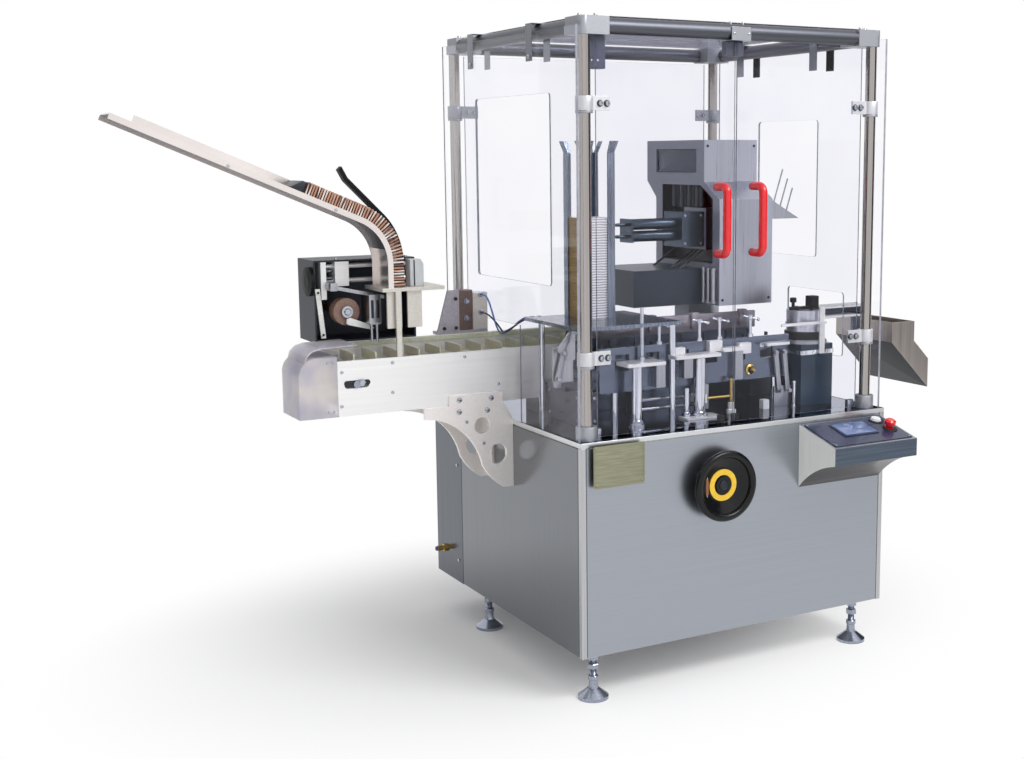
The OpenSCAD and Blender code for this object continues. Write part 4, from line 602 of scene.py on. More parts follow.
# The base casting of the stack is left ivory grey.
ivory_cast = finish("aluminium cast ivory", 0.5, "#cac6be", "#dad6cf", (4, 4, 4), (0.36, 0.46), 0.05)
dress(ivory_cast, "magazine_base")
dress(milled, "conveyor_plates", "feeder_guides")
dress(cast, "conveyor_brackets")
dress(acetal, "bucket_chain")
dress(frosted, "conveyor_cover")
dress(zinc, "sprocket_shafts")
soften(1.0, "conveyor_brackets", "magazine_base", "conveyor_cover")
plate_front, plate_back, pad_front = 490, 665, 478
low_row = ((-597, 945), (-425, 976), (-169, 1073), (-47, 972), (-594, 1055))
front_screws = [(x, plate_front, z) for x, z in (*low_row, (-423, 1073))]
back_screws = [(x, plate_back, z) for x, z in (*low_row, (-423, 1060))]
plate_screws = screwed(dome_screw(5.5), FRONT, front_screws) + screwed(dome_screw(5.5), BACK, back_screws)
fitted("plate_screws", zinc_screw, *plate_screws)
# The tension slot is a thin near black plate on the side plate: painted shade for the open slot.
slot_frame = facing(at(-544, plate_front, 1017), FRONT)
fitted("tension_slot_shade", blackened_steel_and_slot_shade, (pressed(rounded(-44, -9, 44, 9, 8.9), 0.8, 0.3), slot_frame))
tension_bolt = turned([(0, 0), (14, 0), (14, 2), (9.5, 2), (9.5, 8), (8.5, 9), (0, 9)], 6)
fitted("tension_bolt", zinc_screw, (tension_bolt, facing(at(-530, plate_front - 0.8, 1017), FRONT)))
pad_bolts = ((-197, 931), (-81, 928), (-198, 891), (-96, 888))
bracket_bolts = screwed(dome_screw(9), FRONT, [(x, pad_front, z) for x, z in pad_bolts])
fitted("bracket_bolts", zinc_screw, *bracket_bolts)
# Each bolt's slot is a thin near black bar on its head: painted shade for the cut slot.
drive_slot = pressed(rounded(-8, -1.1, 8, 1.1, 1.0), 1.4, 0.2)
bolt_slots = [(drive_slot, facing(at(x, pad_front - 5.4, z), FRONT, (0.3, 0, 1))) for x, z in pad_bolts]
fitted("bracket_bolt_slot_shade", blackened_steel_and_slot_shade, *bolt_slots)
bracket_screws = screwed(cap_screw(7, 6), FRONT, [(-172, pad_front, 855), (-111, pad_front, 777)])
fitted("bracket_screws", zinc_screw, *bracket_screws)
cover_spots = [(x, plate_front, z) for x in (-622, -640) for z in (930, 1088)]
fitted("cover_screws", zinc_screw, *screwed(dome_screw(4), FRONT, cover_spots))
hood = [(-716, 1090), (-708, 1113), (-690, 1129), (-664, 1136), (-540, 1140), (-540, 1136), (-663, 1132),
    (-688, 1125), (-704, 1111), (-712, 1090)]
fitted("cover_hood", frosted, upright(hood, 663, 171, 0.8))
strip_low, strip_high, strip_start, strip_end = 1112, 1128, -560, 940
strip = [(strip_start, strip_low), (strip_end, strip_low), (strip_end, strip_high), (strip_start, strip_high)]
fitted("wear_strip", acetal, upright(strip, 653, 5, 1.0))

# Blister feeder
# A dark anodised housing on the conveyor's rear plate, with a brown feed roller, a lever and a strap in
# front, slanted pusher rails over the base, and a pale guide beside the stack.
# Hard anodised: slate, matt, with a fine grain.
anodised = finish("aluminium hard anodised", 0.3, "#2b2e38", "#373a45", (3, 3, 3), (0.36, 0.48), 0.05,
    specular_ior_level=0.3)
# Cast polyurethane: brown, with a dull skin.
tread = finish("cast polyurethane brown", 0.0, "#785c50", "#917568", (5, 5, 5), (0.44, 0.58), 0.06)
# Phenolic comes out of its mould black and glossy.
phenolic = finish("phenolic moulded black", 0.0, "#0a0b0d", "#101215", (10, 10, 10), (0.16, 0.26), 0.01,
    specular_ior_level=0.3)
# The knob has been handled dull.
dull_phenolic = finish("phenolic handled dull", 0.0, "#0b0c0e", "#15171b", (6, 6, 6), (0.44, 0.56), 0.03,
    specular_ior_level=0.15)
# Opal sheet: pale and half clear.
opal = finish("opal acrylic milled", 0.0, "#d5d8dc", "#e3e6e8", (30, 30, 30), (0.3, 0.42), 0.02,
    ior=1.49, transmission_weight=0.3)
dress(anodised, "feeder_housing")
dress(tread, "feeder_roller")
dress(dull_phenolic, "feeder_knob")
soften(1.2, "feeder_housing")
roller_front, strap_back, strap_front = 609, 655, 650
roller_end = turned([(0, 0), (19, 0), (19, 2), (12, 3), (9, 8), (0, 8)], 32)
fitted("roller_end", zinc_screw, (roller_end, facing(at(-528, roller_front, 1233), FRONT)))
strap = [(-620, 1308), (-604, 1308), (-588, 1146), (-604, 1146)]
fitted("feeder_strap", white_acetal, upright(strap, strap_back, 5, 1.0))
strap_bolts = screwed(cap_screw(5, 5), FRONT, [(-611, strap_front, 1296), (-597, strap_front, 1158)])
fitted("strap_bolts", blackened_steel_and_slot_shade, *strap_bolts)
lever = [(-534, 1196), (-526, 1190), (-446, 1170), (-440, 1176), (-446, 1184), (-520, 1214), (-532, 1210)]
fitted("roller_lever", white_acetal, upright(lever, roller_front, 6, 1.2))
# The pusher: a block on two rods, two slanted rails and the bracket that holds them.
pusher_rod = turned([(0, 0), (4.5, 0), (4.5, 58), (7, 59), (7, 66), (0, 66)], 20)
slanted_rail = [(-572, 1308), (-572, 1320), (-402, 1282), (-402, 1270)]
pusher = [upright(rounded(-470, 1192, -429.5, 1290, 5), 638, 76, 2.0)]
pusher += [(pusher_rod, stood(x, 575, 1134)) for x in (-459, -441)]
pusher += [upright(slanted_rail, y, 9, 1.5) for y in (612, 636)]
pusher.append(upright(rounded(-584, 1303, -560, 1329, 3), strap_back, 52, 1.5))
fitted("pack_pusher", satin, *pusher)
# The pusher's slots are thin near black plates: painted shade for the open slots.
slots = [upright(rounded(x, 1212, x + 9, 1272, 3), 562, 1.2, 0.3) for x in (-464, -446)]
fitted("pusher_slot_shade", blackened_steel_and_slot_shade, *slots)
coil_pitch, coils = 2.4, [(0, 0)]
for k in range(9):
    coils += [(5.0, coil_pitch * k + 0.2), (7.0, coil_pitch * k + 1.2)]
spring = turned(coils + [(5.0, 22), (0, 22)], 18)
fitted("guide_springs", zinc_screw, *screwed(spring, RIGHT, [(-578, 670, z) for z in (1340, 1364)]))
housing_top = 1400
roof_screws = [(cap_screw(7, 6), stood(x, 668, housing_top)) for x in (-541, -420, -300)]
fitted("housing_screws", zinc_screw, *roof_screws)
guide = [(-343, 1314), (-296, 1314), (-296, 1386), (-306, 1402), (-343, 1402)]
fitted("pack_guide", opal, upright(guide, 560, 42, 1.5))
# The guide's groove is a thin near black strip: painted shade for the cut groove.
groove = [(-331, 1316), (-327, 1316), (-327, 1400), (-331, 1400)]
fitted("pack_guide_groove_shade", blackened_steel_and_slot_shade, upright(groove, 518.6, 2, 0.4))

# Blister chute
# Stainless sheet bent through a quarter turn and welded to its legs; foil packs stand on edge in it under
# a hold-down bar, with a steel weight behind them.
# Bright annealed sheet: pale.
chute_steel = finish("stainless sheet bright annealed", 0.85, "#e3dbd8", "#eee7e4", (400, 6, 400),
    (0.2, 0.28), 0.02)
# Underneath it is painted shade: the faces that look down are a dull, dark copy of the sheet.
blister_underside_shade = finish("blister chute underside painted shade", 1.0, "#454852", "#555862", (400, 8, 400),
    (0.36, 0.46), 0.03)
dress(chute_steel, "blister_chute")
dress_faces(blister_underside_shade, "blister_chute", lambda face: face.normal.z < -0.25)
dress(dull_phenolic, "hold_down_bar")
# Foil packs: copper lacquer and bare foil by turns, and a few dark card sleeves.
foil, shader = surface("blister foil lacquered", metallic=0.6)
pack_place = add(foil, "ShaderNodeNewGeometry", {}, {})
pack_tone = add(foil, "ShaderNodeValToRGB", {}, {"Fac": pack_place.outputs["Random Per Island"]})
pack_tone.color_ramp.interpolation = "CONSTANT"
pack_colour = stops(pack_tone, (0.0, "#b98a74"), (0.35, "#e4dcd8"), (0.55, "#c59a84"), (0.78, "#6a5652"),
    (0.9, "#d9cfcb"))
foil.node_tree.links.new(pack_colour, shader.inputs["Base Color"])
foil_grain = add(foil, "ShaderNodeTexNoise", {}, {"Scale": 1000 / 7, "Detail": 2.0})
foil_gloss = add(foil, "ShaderNodeMapRange", {},
    {"Value": foil_grain.outputs["Fac"], "To Min": 0.24, "To Max": 0.4})
foil.node_tree.links.new(foil_gloss.outputs["Result"], shader.inputs["Roughness"])
dress(foil, "blister_stack")
# The weight's frame runs up the slide: x along it, y off it, z across it.
slide_start, along, off = (-506.7, 0, 1543.7), Vector((-0.9205, 0, 0.3907)), Vector((0.3907, 0, 0.9205))
slide_frame = stood(*slide_start) @ Matrix((along, off, Vector(BACK))).transposed().to_4x4()
weight = pressed([(181, 1), (241, 1), (241, 6), (212, 36), (181, 36)], 118, 1.5)
fitted("stack_weight", blackened_steel_and_slot_shade, (weight, slide_frame @ Matrix.Translation((0, 0, 0.521))))
leg_spots = ((-922, 1707), (-591, 1568))
leg_screws = screwed(dome_screw(5), FRONT, [(x, 505, z) for x, z in leg_spots])
leg_screws += screwed(dome_screw(5), BACK, [(x, 655, z) for x, z in leg_spots])
fitted("chute_screws", zinc_screw, *leg_screws)

# Valve
# A milled gusset on the rear plate carries a brown and a pale valve body with plated push-in fittings.
# Two more fittings stand on the rear edge of the carton table.
# Anodised blocks: one natural, one tobacco brown.
valve_body = finish("aluminium valve body anodised", 0.6, "#cbc6c1", "#dad5d0", (5, 5, 5), (0.32, 0.42), 0.03)
brown_body = finish("aluminium anodised brown", 0.5, "#5f4d48", "#786560", (5, 5, 5), (0.35, 0.46), 0.03)
# The gusset is painted machine grey.
gusset_paint = finish("machine grey enamel", 0.0, "#9d99a3", "#aeaab3", (8, 8, 8), (0.3, 0.42), 0.04)
dress(gusset_paint, "valve_bracket")
dress(valve_body, "valve_blocks")
between_x = at(-61.5, 0, 0).x
dress_faces(brown_body, "valve_blocks", lambda face: face.center.x < between_x)
soften(1.5, "valve_bracket", "valve_blocks")
block_front, brown_x = 655, -87
barrel = turned([(0, 0), (9, 0), (9, 5), (7.5, 5.5), (7.5, 12), (6.5, 14), (0, 14)], 24)
fittings = screwed(barrel, FRONT, [(valve_x, block_front, z) for z in (valve_low, valve_high)])
fittings += screwed(barrel, FRONT, [(brown_x, block_front, z) for z in (1180, 1240)])
small_barrel = turned([(0, -4), (8, -4), (8, 6), (7, 7), (7, 14), (6, 16), (0, 16)], 24)
fittings += screwed(small_barrel, BACK, [(x, table_edge, table_mid) for x in (blue_in, black_in)])
fitted("push_in_fittings", zinc, *fittings)
gusset_spots = [(x, block_front, z) for x, z in ((-170, 1150), (-126, 1150), (-126, 1250))]
fitted("gusset_screws", blackened_steel_and_slot_shade, *screwed(cap_screw(8, 7), FRONT, gusset_spots))

# Carton magazine and track
# Ground steel plates over the deck on chrome columns; flat cartons lie in four bent rails, and the track
# is set by clamp levers, a brass screw and two link arms.
# Ground steel: slate grey with lines along the plate.
plate_steel = finish("steel plate ground", 0.65, "#5e6677", "#778092", (160, 160, 5), (0.1, 0.18), 0.0)
# The magazine's bars are drawn steel, blue grey.
bar_steel = finish("steel bar drawn", 0.85, "#757e8d", "#8b94a3", (6, 6, 300), (0.22, 0.32), 0.02)
# Hard chrome: bright. Its crisp dark upright streaks are painted reflections.
chrome = finish("hard chrome ground with painted reflection streaks", 1.0, "#b4b9c6", "#f1f2f6", (9, 9, 400), (0.03, 0.07), 0.0)
dress(plate_steel, "carton_track", "discharge_arm")
dress(satin, "leaflet_tray")
dress(bar_steel, "carton_magazine")
dress_faces(plate_steel, "carton_magazine", lambda face: face.normal.z > 0.9)
dress(chrome, "track_columns")
soften(1.0, "carton_track")
# White board: the cut edges of the stack show as wavy lines.
board, shader = surface("white carton board", roughness=0.6)
board_place = add(board, "ShaderNodeTexCoord", {}, {})
board_layers = add(board, "ShaderNodeTexWave", {"bands_direction": "Z"},
    {"Vector": board_place.outputs["Object"], "Scale": 1000 / 9 / 6.2832 * 2, "Distortion": 2.2, "Detail": 2.0})
layer_tone = add(board, "ShaderNodeValToRGB", {}, {"Fac": board_layers.outputs["Fac"]})
layer_colour = stops(layer_tone, (0.2, "#a9a6ae"), (0.5, "#e4e2e6"), (1.0, "#f1eff2"))
board.node_tree.links.new(layer_colour, shader.inputs["Base Color"])
layer_relief = add(board, "ShaderNodeBump", {},
    {"Height": board_layers.outputs["Fac"], "Strength": 0.3, "Distance": 0.001})
board.node_tree.links.new(layer_relief.outputs["Normal"], shader.inputs["Normal"])
# The side flaps are gold brown.
gold_board = finish("carton board printed gold", 0.0, "#8a6e42", "#b0925c", (60, 60, 4), (0.44, 0.58), 0.1)
dress(board, "carton_stack")
dress_faces(gold_board, "carton_stack", lambda face: face.normal.x < -0.7)
track_front, track_top = 216, 1104
lever_post = turned([(0, 0), (11, 0), (11, 10), (6, 11), (6, 60), (9, 62), (9, 74), (7, 76), (0, 76)], 20)
lever_arm = turned([(0, -24), (3.5, -24), (3.5, 24), (6, 26), (6.5, 31), (4, 35), (0, 36)], 18)
levers = []
for x in (425, 586, 669, 799):
    foot = at(x, track_front + 6, track_top)
    levers.append((lever_post, Matrix.Translation(foot)))
    levers.append((lever_arm, facing(foot + Vector((0, 0, 0.068)), (1, -0.5, -0.25))))
fitted("clamp_levers", chrome, *levers)
# Stout ground pillars carry the adjusting plates in front of the track.
pillars = []
for x, y, r, top in ((299, 160, 17, 1047), (566, 188, 20, 1055), (518, 196, 9, 950)):
    tall = top - deck_top
    pillar = turned([(0, 0), (r + 9, 0), (r + 9, 8), (r + 5, 10), (r + 5, 20), (r, 22), (r, tall - 4),
        (r - 1.5, tall), (0, tall)], 36)
    pillars.append((pillar, stood(x, y, deck_top)))
thin_pillar = turned([(0, 0), (9, 0), (9, 12), (6, 14), (6, 174), (5, 177), (0, 177)], 24)
fitted("track_pillars", chrome, *pillars, (thin_pillar, stood(341, 196, 1059)))
plates = [
    flat(rounded(494, 150, 632, 213, 5), deck_top, 7, 1.2),
    flat(rounded(250, 132, 398, 215, 6), 1047, 12, 1.5),
    flat(rounded(452, 156, 636, 215, 6), 1055, 12, 1.5),
    flat(rounded(660, 180, 742, 215, 5), 1064, 14, 1.5),
    flat(rounded(842, 176, 940, 215, 5), 1072, 10, 1.5),
]
for x0, x1, z0, z1 in ((612, 664, 1067, 1104), (466, 512, 1067, 1090), (736, 786, 1050, 1088)):
    plates.append(upright(rounded(x0, z0, x1, z1, 3), 217, 22, 1.2))
fitted("adjusting_plates", milled, *plates)
slides = [
    upright(rounded(500, 985, 536, 1055, 3), 216.5, 34, 1.5),
    upright(rounded(392, 962, 428, 1047, 3), 216.5, 30, 1.5),
    upright(rounded(716, 962, 748, 1062, 3), 216.5, 26, 1.5),
]
fitted("track_slides", satin, *slides)
# A tempered rail, mauve grey, guides the cartons along the rear plate.
tempered = finish("steel strip tempered", 0.6, "#98919a", "#aea7af", (120, 120, 12), (0.12, 0.22), 0.02)
rail_back = 461
guide_rail = [upright(rounded(262, 1104, 985, 1166, 4), rail_back, 10, 1.2)]
guide_rail += [upright(rounded(x, 1112, x + 30, 1174, 4), rail_back, 22, 1.5) for x in (300, 520, 700, 910)]
fitted("guide_rail", tempered, *guide_rail)
cross_bar = turned([(0, 0), (6, 0), (6, 300), (0, 300)], 20)
cross_bars = screwed(cross_bar, RIGHT, [(320, 236, z) for z in (884, 916)])
cross_bars += [upright(rounded(x, 866, x + 22, 952, 3), 256, 40, 1.0) for x in (318, 600)]
fitted("track_cross_bars", satin, *cross_bars)
knob = turned([(0, 0), (19, 0), (19, 5), (13, 8), (13, 15), (7, 26), (4, 30), (0, 30)], 28)
brass_post = turned([(0, 0), (8, 0), (8, 74), (10, 75), (10, 84), (0, 84)], 24)
brass_rod = turned([(0, 0), (5, 0), (5, 118), (0, 118)], 24)
brass_x, brass_y = 699, 190
fitted("brass_screws", brass, (knob, facing(at(794, track_front, 990), FRONT)),
    (brass_post, stood(brass_x, brass_y, 886)), (brass_rod, facing(at(580, 192, 908), RIGHT)))
brass_foot = turned([(0, 0), (16, 0), (16, 14), (12, 16), (12, 38), (10, 40), (0, 40)], 24)
fitted("track_blocks", white_acetal, upright(rounded(558, 893, 596, 923, 4), 236, 50, 1.5),
    upright(rounded(836, 846, 862, 880, 3), 214, 24, 1.5), (brass_foot, stood(brass_x, brass_y, deck_top)))
# Two link arms on pins lean between a foot plate and the track.
arm_y, arm_from, arm_to = 202, Vector((912, 0, 906)), Vector((895, 0, 1043))
arm_run = (arm_to - arm_from).normalized()
arm_len = (arm_to - arm_from).length
arm = pressed(rounded(-9, -10, 9, arm_len + 10, 8.5), 5, 0.8)
arm_pin = turned([(0, 0), (6, 0), (6, 22), (7, 23), (7, 26), (0, 26)], 20)
arms = []
for shift in (0, 37):
    arms.append((arm, facing(at(arm_from.x + shift, arm_y, arm_from.z), FRONT, arm_run)))
    for far, pin_y in ((0, 208), (arm_len, track_front)):
        end = arm_from + arm_run * far
        arms.append((arm_pin, facing(at(end.x + shift, pin_y, end.z), FRONT)))
arms.append(upright(rounded(894, 846, 968, 922, 5), 214, 8, 1.0))
fitted("link_arms", satin, *arms)
# The suction arm's drive case stands left of the track, with a shield and a second case behind.
# Slate paint: a dark, satin violet grey.
case_paint = finish("slate paint satin", 0.0, "#454657", "#555667", (9, 9, 9), (0.26, 0.36), 0.05)
case_left, case_right, case_front, case_tall = 130, 184, 216, 118
case = [
    flat(rounded(case_left, case_front, case_right, 486, 10), deck_top, case_tall, 3.0),
    flat(rounded(case_left, 480, case_right, 640, 10), deck_top, 54, 3.0),
    flat(rounded(86, 268, 172, 380, 10), deck_top + case_tall, 30, 3.0),
]
fitted("drive_case", case_paint, *case)
fitted("track_shield", case_paint, upright(rounded(966, 846, 1124, 1062, 6), 462, 9, 1.5))
rear_front, rear_right = 690, 1080
rear_case = flat(rounded(760, rear_front, rear_right, 752, 8), deck_top, 150, 3.0)
fitted("rear_case", case_paint, rear_case)
case_screw = cap_screw(8, 7)
rear_spots = [(x, rear_front, z) for x in (784, 920, 1056) for z in (868, 974)]
rear_side_spots = [(rear_right, y, z) for y in (706, 736) for z in (868, 974)]
fitted("rear_case_screws", zinc_screw, *screwed(case_screw, FRONT, rear_spots),
    *screwed(case_screw, RIGHT, rear_side_spots))
case_side_spots = [(case_left, y, z) for y in (246, 440) for z in (868, 944)]
case_spots = [(x, case_front, z) for x in (146, 168) for z in (868, 944)]
fitted("case_screws", zinc_screw, *screwed(case_screw, LEFT, case_side_spots),
    *screwed(case_screw, FRONT, case_spots))
# Two links on pins lead from the case's plates up to the table.
link_pin = turned([(0, 0), (8, 0), (8, 26), (6, 28), (0, 28)], 20)
links = []
for low, high, y in (((62, 0, 1010), (84, 0, 1094), 262), ((66, 0, 1108), (116, 0, 1166), 252)):
    run = Vector(high) - Vector(low)
    bar = pressed(rounded(-11, -11, 11, run.length + 11, 10.5), 8, 1.0)
    links.append((bar, facing(at(low[0], y, low[2]), FRONT, run.normalized())))
    links += screwed(link_pin, FRONT, [(end[0], 270, end[2]) for end in (low, high)])
links.append(upright(rounded(50, 994, 96, 1112, 8), 278, 8, 1.2))
links.append(upright(rounded(98, 1066, 134, 1171, 6), 278, 8, 1.2))
links.append(upright(rounded(58, 976, 130, 1080, 8), 288, 10, 1.2))
fitted("suction_links", satin, *links)
post = turned([(0, 0), (9, 0), (9, 4), (6, 5), (6, 84), (9, 85), (9, 92), (0, 92)], 24)
fitted("track_post", chrome, (post, stood(972, 192, deck_top)))

# Leaflet folder
# A grey painted housing under a satin stainless cover, with a dark glass window, folding rollers on a
# gearbox and bright guide columns at its foot.
# Hammer paint: grey lilac with a soft dimple.
grey_paint = finish("grey hammer paint", 0.0, "#767989", "#868999", (7, 7, 7), (0.3, 0.44), 0.1)
# Inside the recess the grey paint is darkened to near black: painted shade.
recess_shade_paint = finish("recess painted shade", 0.0, "#1d2025", "#2c2f36", (7, 7, 7), (0.4, 0.52), 0.08)
# The cover's satin sheet is brighter than the machine's own.
cover_satin = finish("stainless cover satin bright", 1.0, "#aeb0bb", "#bbbdc8", (5, 5, 300), (0.24, 0.34), 0.03)
# Painted slate cover over the folding unit.
slate_paint = finish("slate blue paint", 0.0, "#2a3440", "#35404c", (7, 7, 7), (0.28, 0.42), 0.06,
    specular_ior_level=0.3)
# The rollers and the gearbox are oiled steel, dark teal with wet lights.
oiled_steel = finish("steel oiled", 0.8, "#3b4552", "#4d5866", (40, 8, 8), (0.16, 0.26), 0.02)
dress(grey_paint, "folder_housing")
dress(cover_satin, "folder_cover")
dress(slate_paint, "folding_unit")
dress(oiled_steel, "folding_rollers")
soften(1.2, "folder_cover", "folding_unit", "folding_rollers")
recess_low, recess_high = at(795, 430, 1340), at(1015, 800, 1640)
dress_faces(recess_shade_paint, "folder_housing",
    lambda face: all(a < b < c for a, b, c in zip(recess_low, face.center, recess_high)))
# Dark glass: it shows what is in front of it.
dark_glass = finish("tinted glass", 0.0, "#202943", "#2b3553", (90, 90, 90), (0.04, 0.1), 0.0, ior=1.5)
pane = pressed(rounded(-137, -41, 137, 41, 4), 4, 0.8)
fitted("leaflet_pane", dark_glass, (pane, facing(at(800, 691, 1713), LEFT)))
# Four leaflet drums stand in the top of the recess, on the pier over the gearbox.
# Their blackened steel is nearly black, with a sharp bluish streak of light down each drum.
black_steel = finish("steel blackened and polished", 0.5, "#171d26", "#212935", (8, 8, 120), (0.18, 0.28), 0.01)
pier_top = 1000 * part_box("folding_rollers")[1][2] + 12
drum = turned([(0, 0), (20, 0), (22, 2), (22, 82), (20, 84), (0, 84)], 32)
drums = [(drum, stood(822, y, pier_top)) for y in (568, 620, 672, 724)]
fitted("leaflet_drums", black_steel, *drums)
lid_spots = [(x, y, z) for y, z in ((500, 1766), (400, 1216)) for x in (804, 1008)]
fitted("folder_screws", blackened_steel_and_slot_shade, *screwed(dome_screw(5), FRONT, lid_spots))
column = turned([(0, 0), (13, 0), (13, 8), (10.5, 9), (10.5, 118), (13, 119), (13, 127), (0, 127)], 28)
fitted("folder_columns", satin, *[(column, stood(779.5, y, 1204)) for y in (425, 455, 485)])
slant = Vector((110, 0, 72))
rod = turned([(0, 0), (4, 0), (4, slant.length), (0, slant.length)], 18)
rod_spots = [(696, y, 1325) for y in (520, 548, 576, 700)]
fitted("folder_rods", blackened_steel_and_slot_shade, *screwed(rod, slant, rod_spots))
gear_spots = [(x, 500, z) for x in (708, 776) for z in (1418, 1518)]
fitted("gearbox_screws", zinc_screw, *screwed(dome_screw(5), FRONT, gear_spots))

# Discharge
# A smoked acrylic box under the pressing drum, a white ribbed belt on its arm and a chute of hand ground
# stainless beyond the right sheet.
# Smoked sheet: nearly black blue, glossy.
smoked = finish("smoked acrylic", 0.0, "#1c2f42", "#293f54", (120, 120, 120), (0.07, 0.14), 0.0, ior=1.4)
# The belt is matt and nearly white.
belt = finish("white polyurethane belt", 0.0, "#d0d0d4", "#e1e1e4", (6, 6, 6), (0.44, 0.56), 0.04)
# Hand ground sheet: warm grey, with short streaks down the slope.
chute_out = finish("stainless sheet hand ground", 1.0, "#b0a7a1", "#c3bbb6", (8, 8, 200), (0.28, 0.38), 0.03)
# Its underside is painted shade: the faces that look down are a near black copy of the sheet.
discharge_underside_shade = finish("discharge chute underside painted shade", 0.4, "#1c2023", "#2a2e32", (30, 30, 30), (0.34, 0.46), 0.03)
# The drum is turned and polished. Its bright and dark upright streaks are painted reflections.
drum_steel = finish("steel drum turned with painted reflection streaks", 0.7, "#a9abb8", "#e0e2ec", (14, 14, 300), (0.14, 0.26), 0.02)
dress(smoked, "smoked_box")
dress(belt, "discharge_belt")
dress(chute_out, "discharge_chute")
dress_faces(discharge_underside_shade, "discharge_chute", lambda face: face.normal.z < -0.2)
dress(drum_steel, "pressing_drum")
soften(1.2, "smoked_box")
soften(1.0, "discharge_chute")
# The drum stands over a dark seal and a bright flange.
drum_x, drum_y, drum_top = 1055, 245, 1184
drum_mid = stood(drum_x, drum_y, 1066)
flange = turned([(0, 0), (80, 0), (80, 9), (78, 11), (71, 11), (71, 12), (0, 12)], 48)
fitted("drum_flange", satin, (flange, drum_mid))
seal = turned([(0, 14), (71, 14), (72, 16), (72, 40), (71, 42), (0, 42)], 48)
fitted("drum_seal", rubber, (seal, drum_mid))
# A bright band clamps the box, and carries the upright and the bar that steady the cartons at the drum.
fitted("box_band", chrome, flat(rounded(981, 166, 1129, 324, 6), 1030, 16, 1.5))
fitted("carton_steady", milled, upright(rounded(1058, 1032, 1080, 1200, 3), 166, 7, 1.2),
    upright(rounded(886, 1139, 1084, 1149, 3), 160, 7, 1.2))
drive_block = pressed(rounded(-18, -18, 18, 18, 4), 46, 2.0)
drive_knob = turned([(0, 0), (11, 0), (11, 8), (6, 10), (6, 26), (12, 28), (12, 42), (10, 44), (0, 44)], 24)
drive_arm = pressed(rounded(-60, -8, 44, 8, 5), 10, 1.5)
fitted("drum_drive", dull_phenolic, (drive_block, stood(1092, 250, drum_top)),
    (drive_knob, stood(1003, drum_y, drum_top)), (drive_arm, stood(1050, 248, drum_top)))
ring_r, ring_turns = 48, (0.5, 1.55, 2.6, 3.65, 4.7, 5.75)
ring = [stood(drum_x + ring_r * math.cos(a), drum_y + ring_r * math.sin(a), drum_top) for a in ring_turns]
fitted("drum_screws", blackened_steel_and_slot_shade, *[(cap_screw(9, 7), spot) for spot in ring])

# Operator panel
# A folded stainless box under the deck's edge with a dark blue membrane plate, a touch screen, a white
# start button and a red stop mushroom.
# The lip in front of the plate is a darker copy of the sheet, painted shade. The two cheeks are a matt, pale
# copy, painted light.
lip_shade_steel = finish("stainless lip painted shade", 1.0, "#515b69", "#636d7b", (300, 5, 5), (0.22, 0.32), 0.02)
cheek_light_steel = finish("stainless cheek matt painted light", 0.0, "#e6e8e3", "#f1f3ee", (5, 5, 200), (0.4, 0.5), 0.02)
# The underside is painted shade: a dull, dark grey copy of the sheet.
box_underside_shade = finish("stainless box underside painted shade", 1.0, "#656261", "#767372", (300, 8, 8), (0.3, 0.4), 0.02)
dress(satin, "operator_box")
dress_faces(box_underside_shade, "operator_box", lambda face: face.normal.z < -0.05)
dress_faces(lip_shade_steel, "operator_box", lambda face: face.normal.y < -0.95)
dress_faces(cheek_light_steel, "operator_box", lambda face: abs(face.normal.x) > 0.8)
soften(1.2, "operator_box")
# Printed polyester membrane: deep blue with a soft sheen.
membrane = finish("polyester membrane blue", 0.0, "#272f4a", "#313959", (25, 25, 25), (0.18, 0.28), 0.01)
dress(membrane, "control_plate")
# Moulded button: clean glossy white.
white_cap = finish("white moulded button", 0.0, "#e8eaec", "#f4f5f7", (8, 8, 8), (0.2, 0.32), 0.01)
dress(white_cap, "start_button")
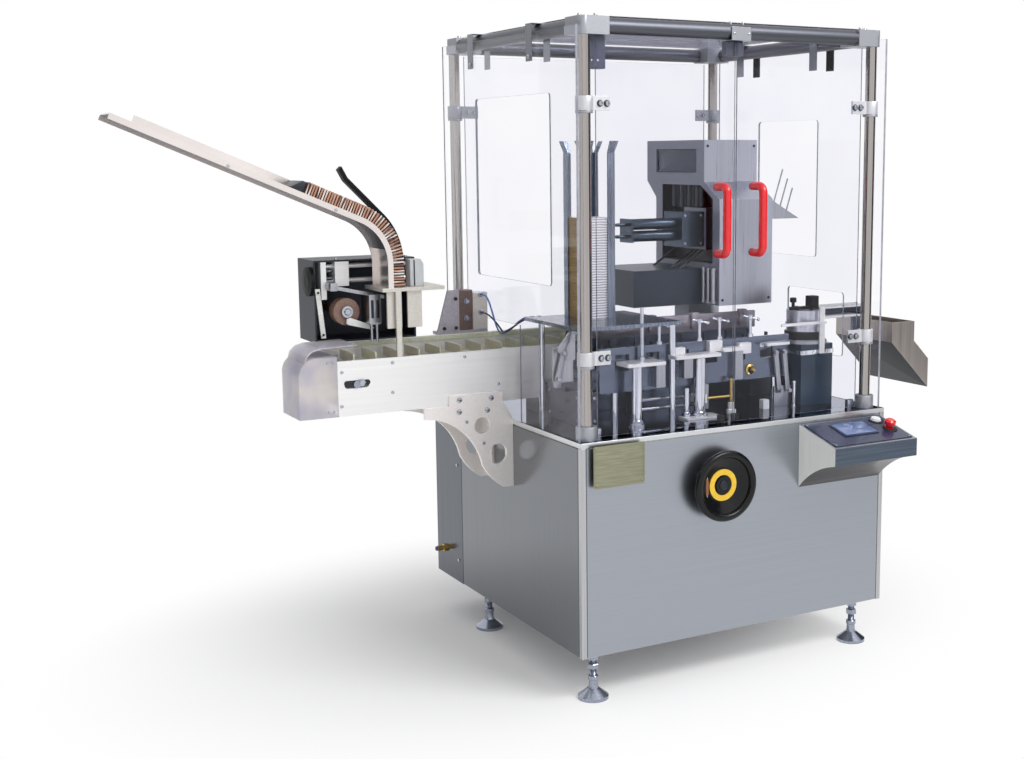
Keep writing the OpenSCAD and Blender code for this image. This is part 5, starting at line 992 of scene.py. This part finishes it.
# Touch glass with a pale blue display behind it.
touch_glass = finish("touch screen glass", 0.0, "#5a70a0", "#6a81b1", (160, 160, 160), (0.05, 0.1), 0.0,
    coat_weight=0.6)
panel_fall, panel_depth = 50, 195
slope = stood(849, 0, 822) @ Matrix.Rotation(math.atan(panel_fall / panel_depth), 4, "X")
glass = pressed(rounded(104, -127, 238, -43, 5), 1.4, 0.5)
fitted("touch_screen", touch_glass, (glass, slope @ Matrix.Translation((0, 0, 0.006))))
plate_face = 0.003
panel_screws = [(dome_screw(3.4), slope @ Matrix.Translation((x / 1000, y / 1000, plate_face)))
    for x in (20, 336) for y in (-182, -20)]
fitted("panel_screws", zinc_screw, *panel_screws)
bezel = turned([(0, 0), (26, 0), (26, 2), (24, 3.4), (0, 3.4)], 40)
rings = [(bezel, slope @ Matrix.Translation((x / 1000, y / 1000, plate_face)))
    for x, y in ((300, -45.5), (304, -117))]
fitted("button_rings", rubber, *rings)

# Handwheel
# A black phenolic dish with a moulded yellow ring round its hub, on the main shaft; a folding grip lies
# in the dish, copper brown between two bright ends.
dress(phenolic, "handwheel")
# Moulded yellow, glossy.
yellow_plastic = finish("glossy yellow moulded plastic", 0.0, "#e8ba2a", "#f3c93c", (10, 10, 10),
    (0.2, 0.3), 0.01)
dress(yellow_plastic, "handwheel_ring")
wheel_x, wheel_z = 518, 658
hub_cap = turned([(0, 0), (16, 0), (16, 2), (13, 3.4), (12.4, 3.0), (5, 3.0), (4.4, 2.4), (0, 2.4)], 36)
fitted("hub_cap", blackened_steel_and_slot_shade, (hub_cap, facing(at(wheel_x, -32, wheel_z), FRONT)), body="wheel")
# Enamel: a warm copper brown with a soft shine.
grip_brown = finish("copper brown enamel", 0.2, "#835736", "#9a6b4a", (6, 6, 6), (0.3, 0.42), 0.03)
grip_frame = facing(at(wheel_x - 65, -26, wheel_z), (0, 0, 1), FRONT)
grip = turned([(0, -27), (6.5, -27), (7.5, -20), (7.5, 20), (6.5, 27), (0, 27)], 24)
fitted("folding_grip", grip_brown, (grip, grip_frame), body="wheel")
tip = turned([(0, 27), (5, 27), (5, 36), (3.5, 38), (0, 38)], 24)
tips = [(tip, grip_frame), (tip, grip_frame @ Matrix.Rotation(math.pi, 4, "X"))]
fitted("grip_ends", zinc_screw, *tips, body="wheel")
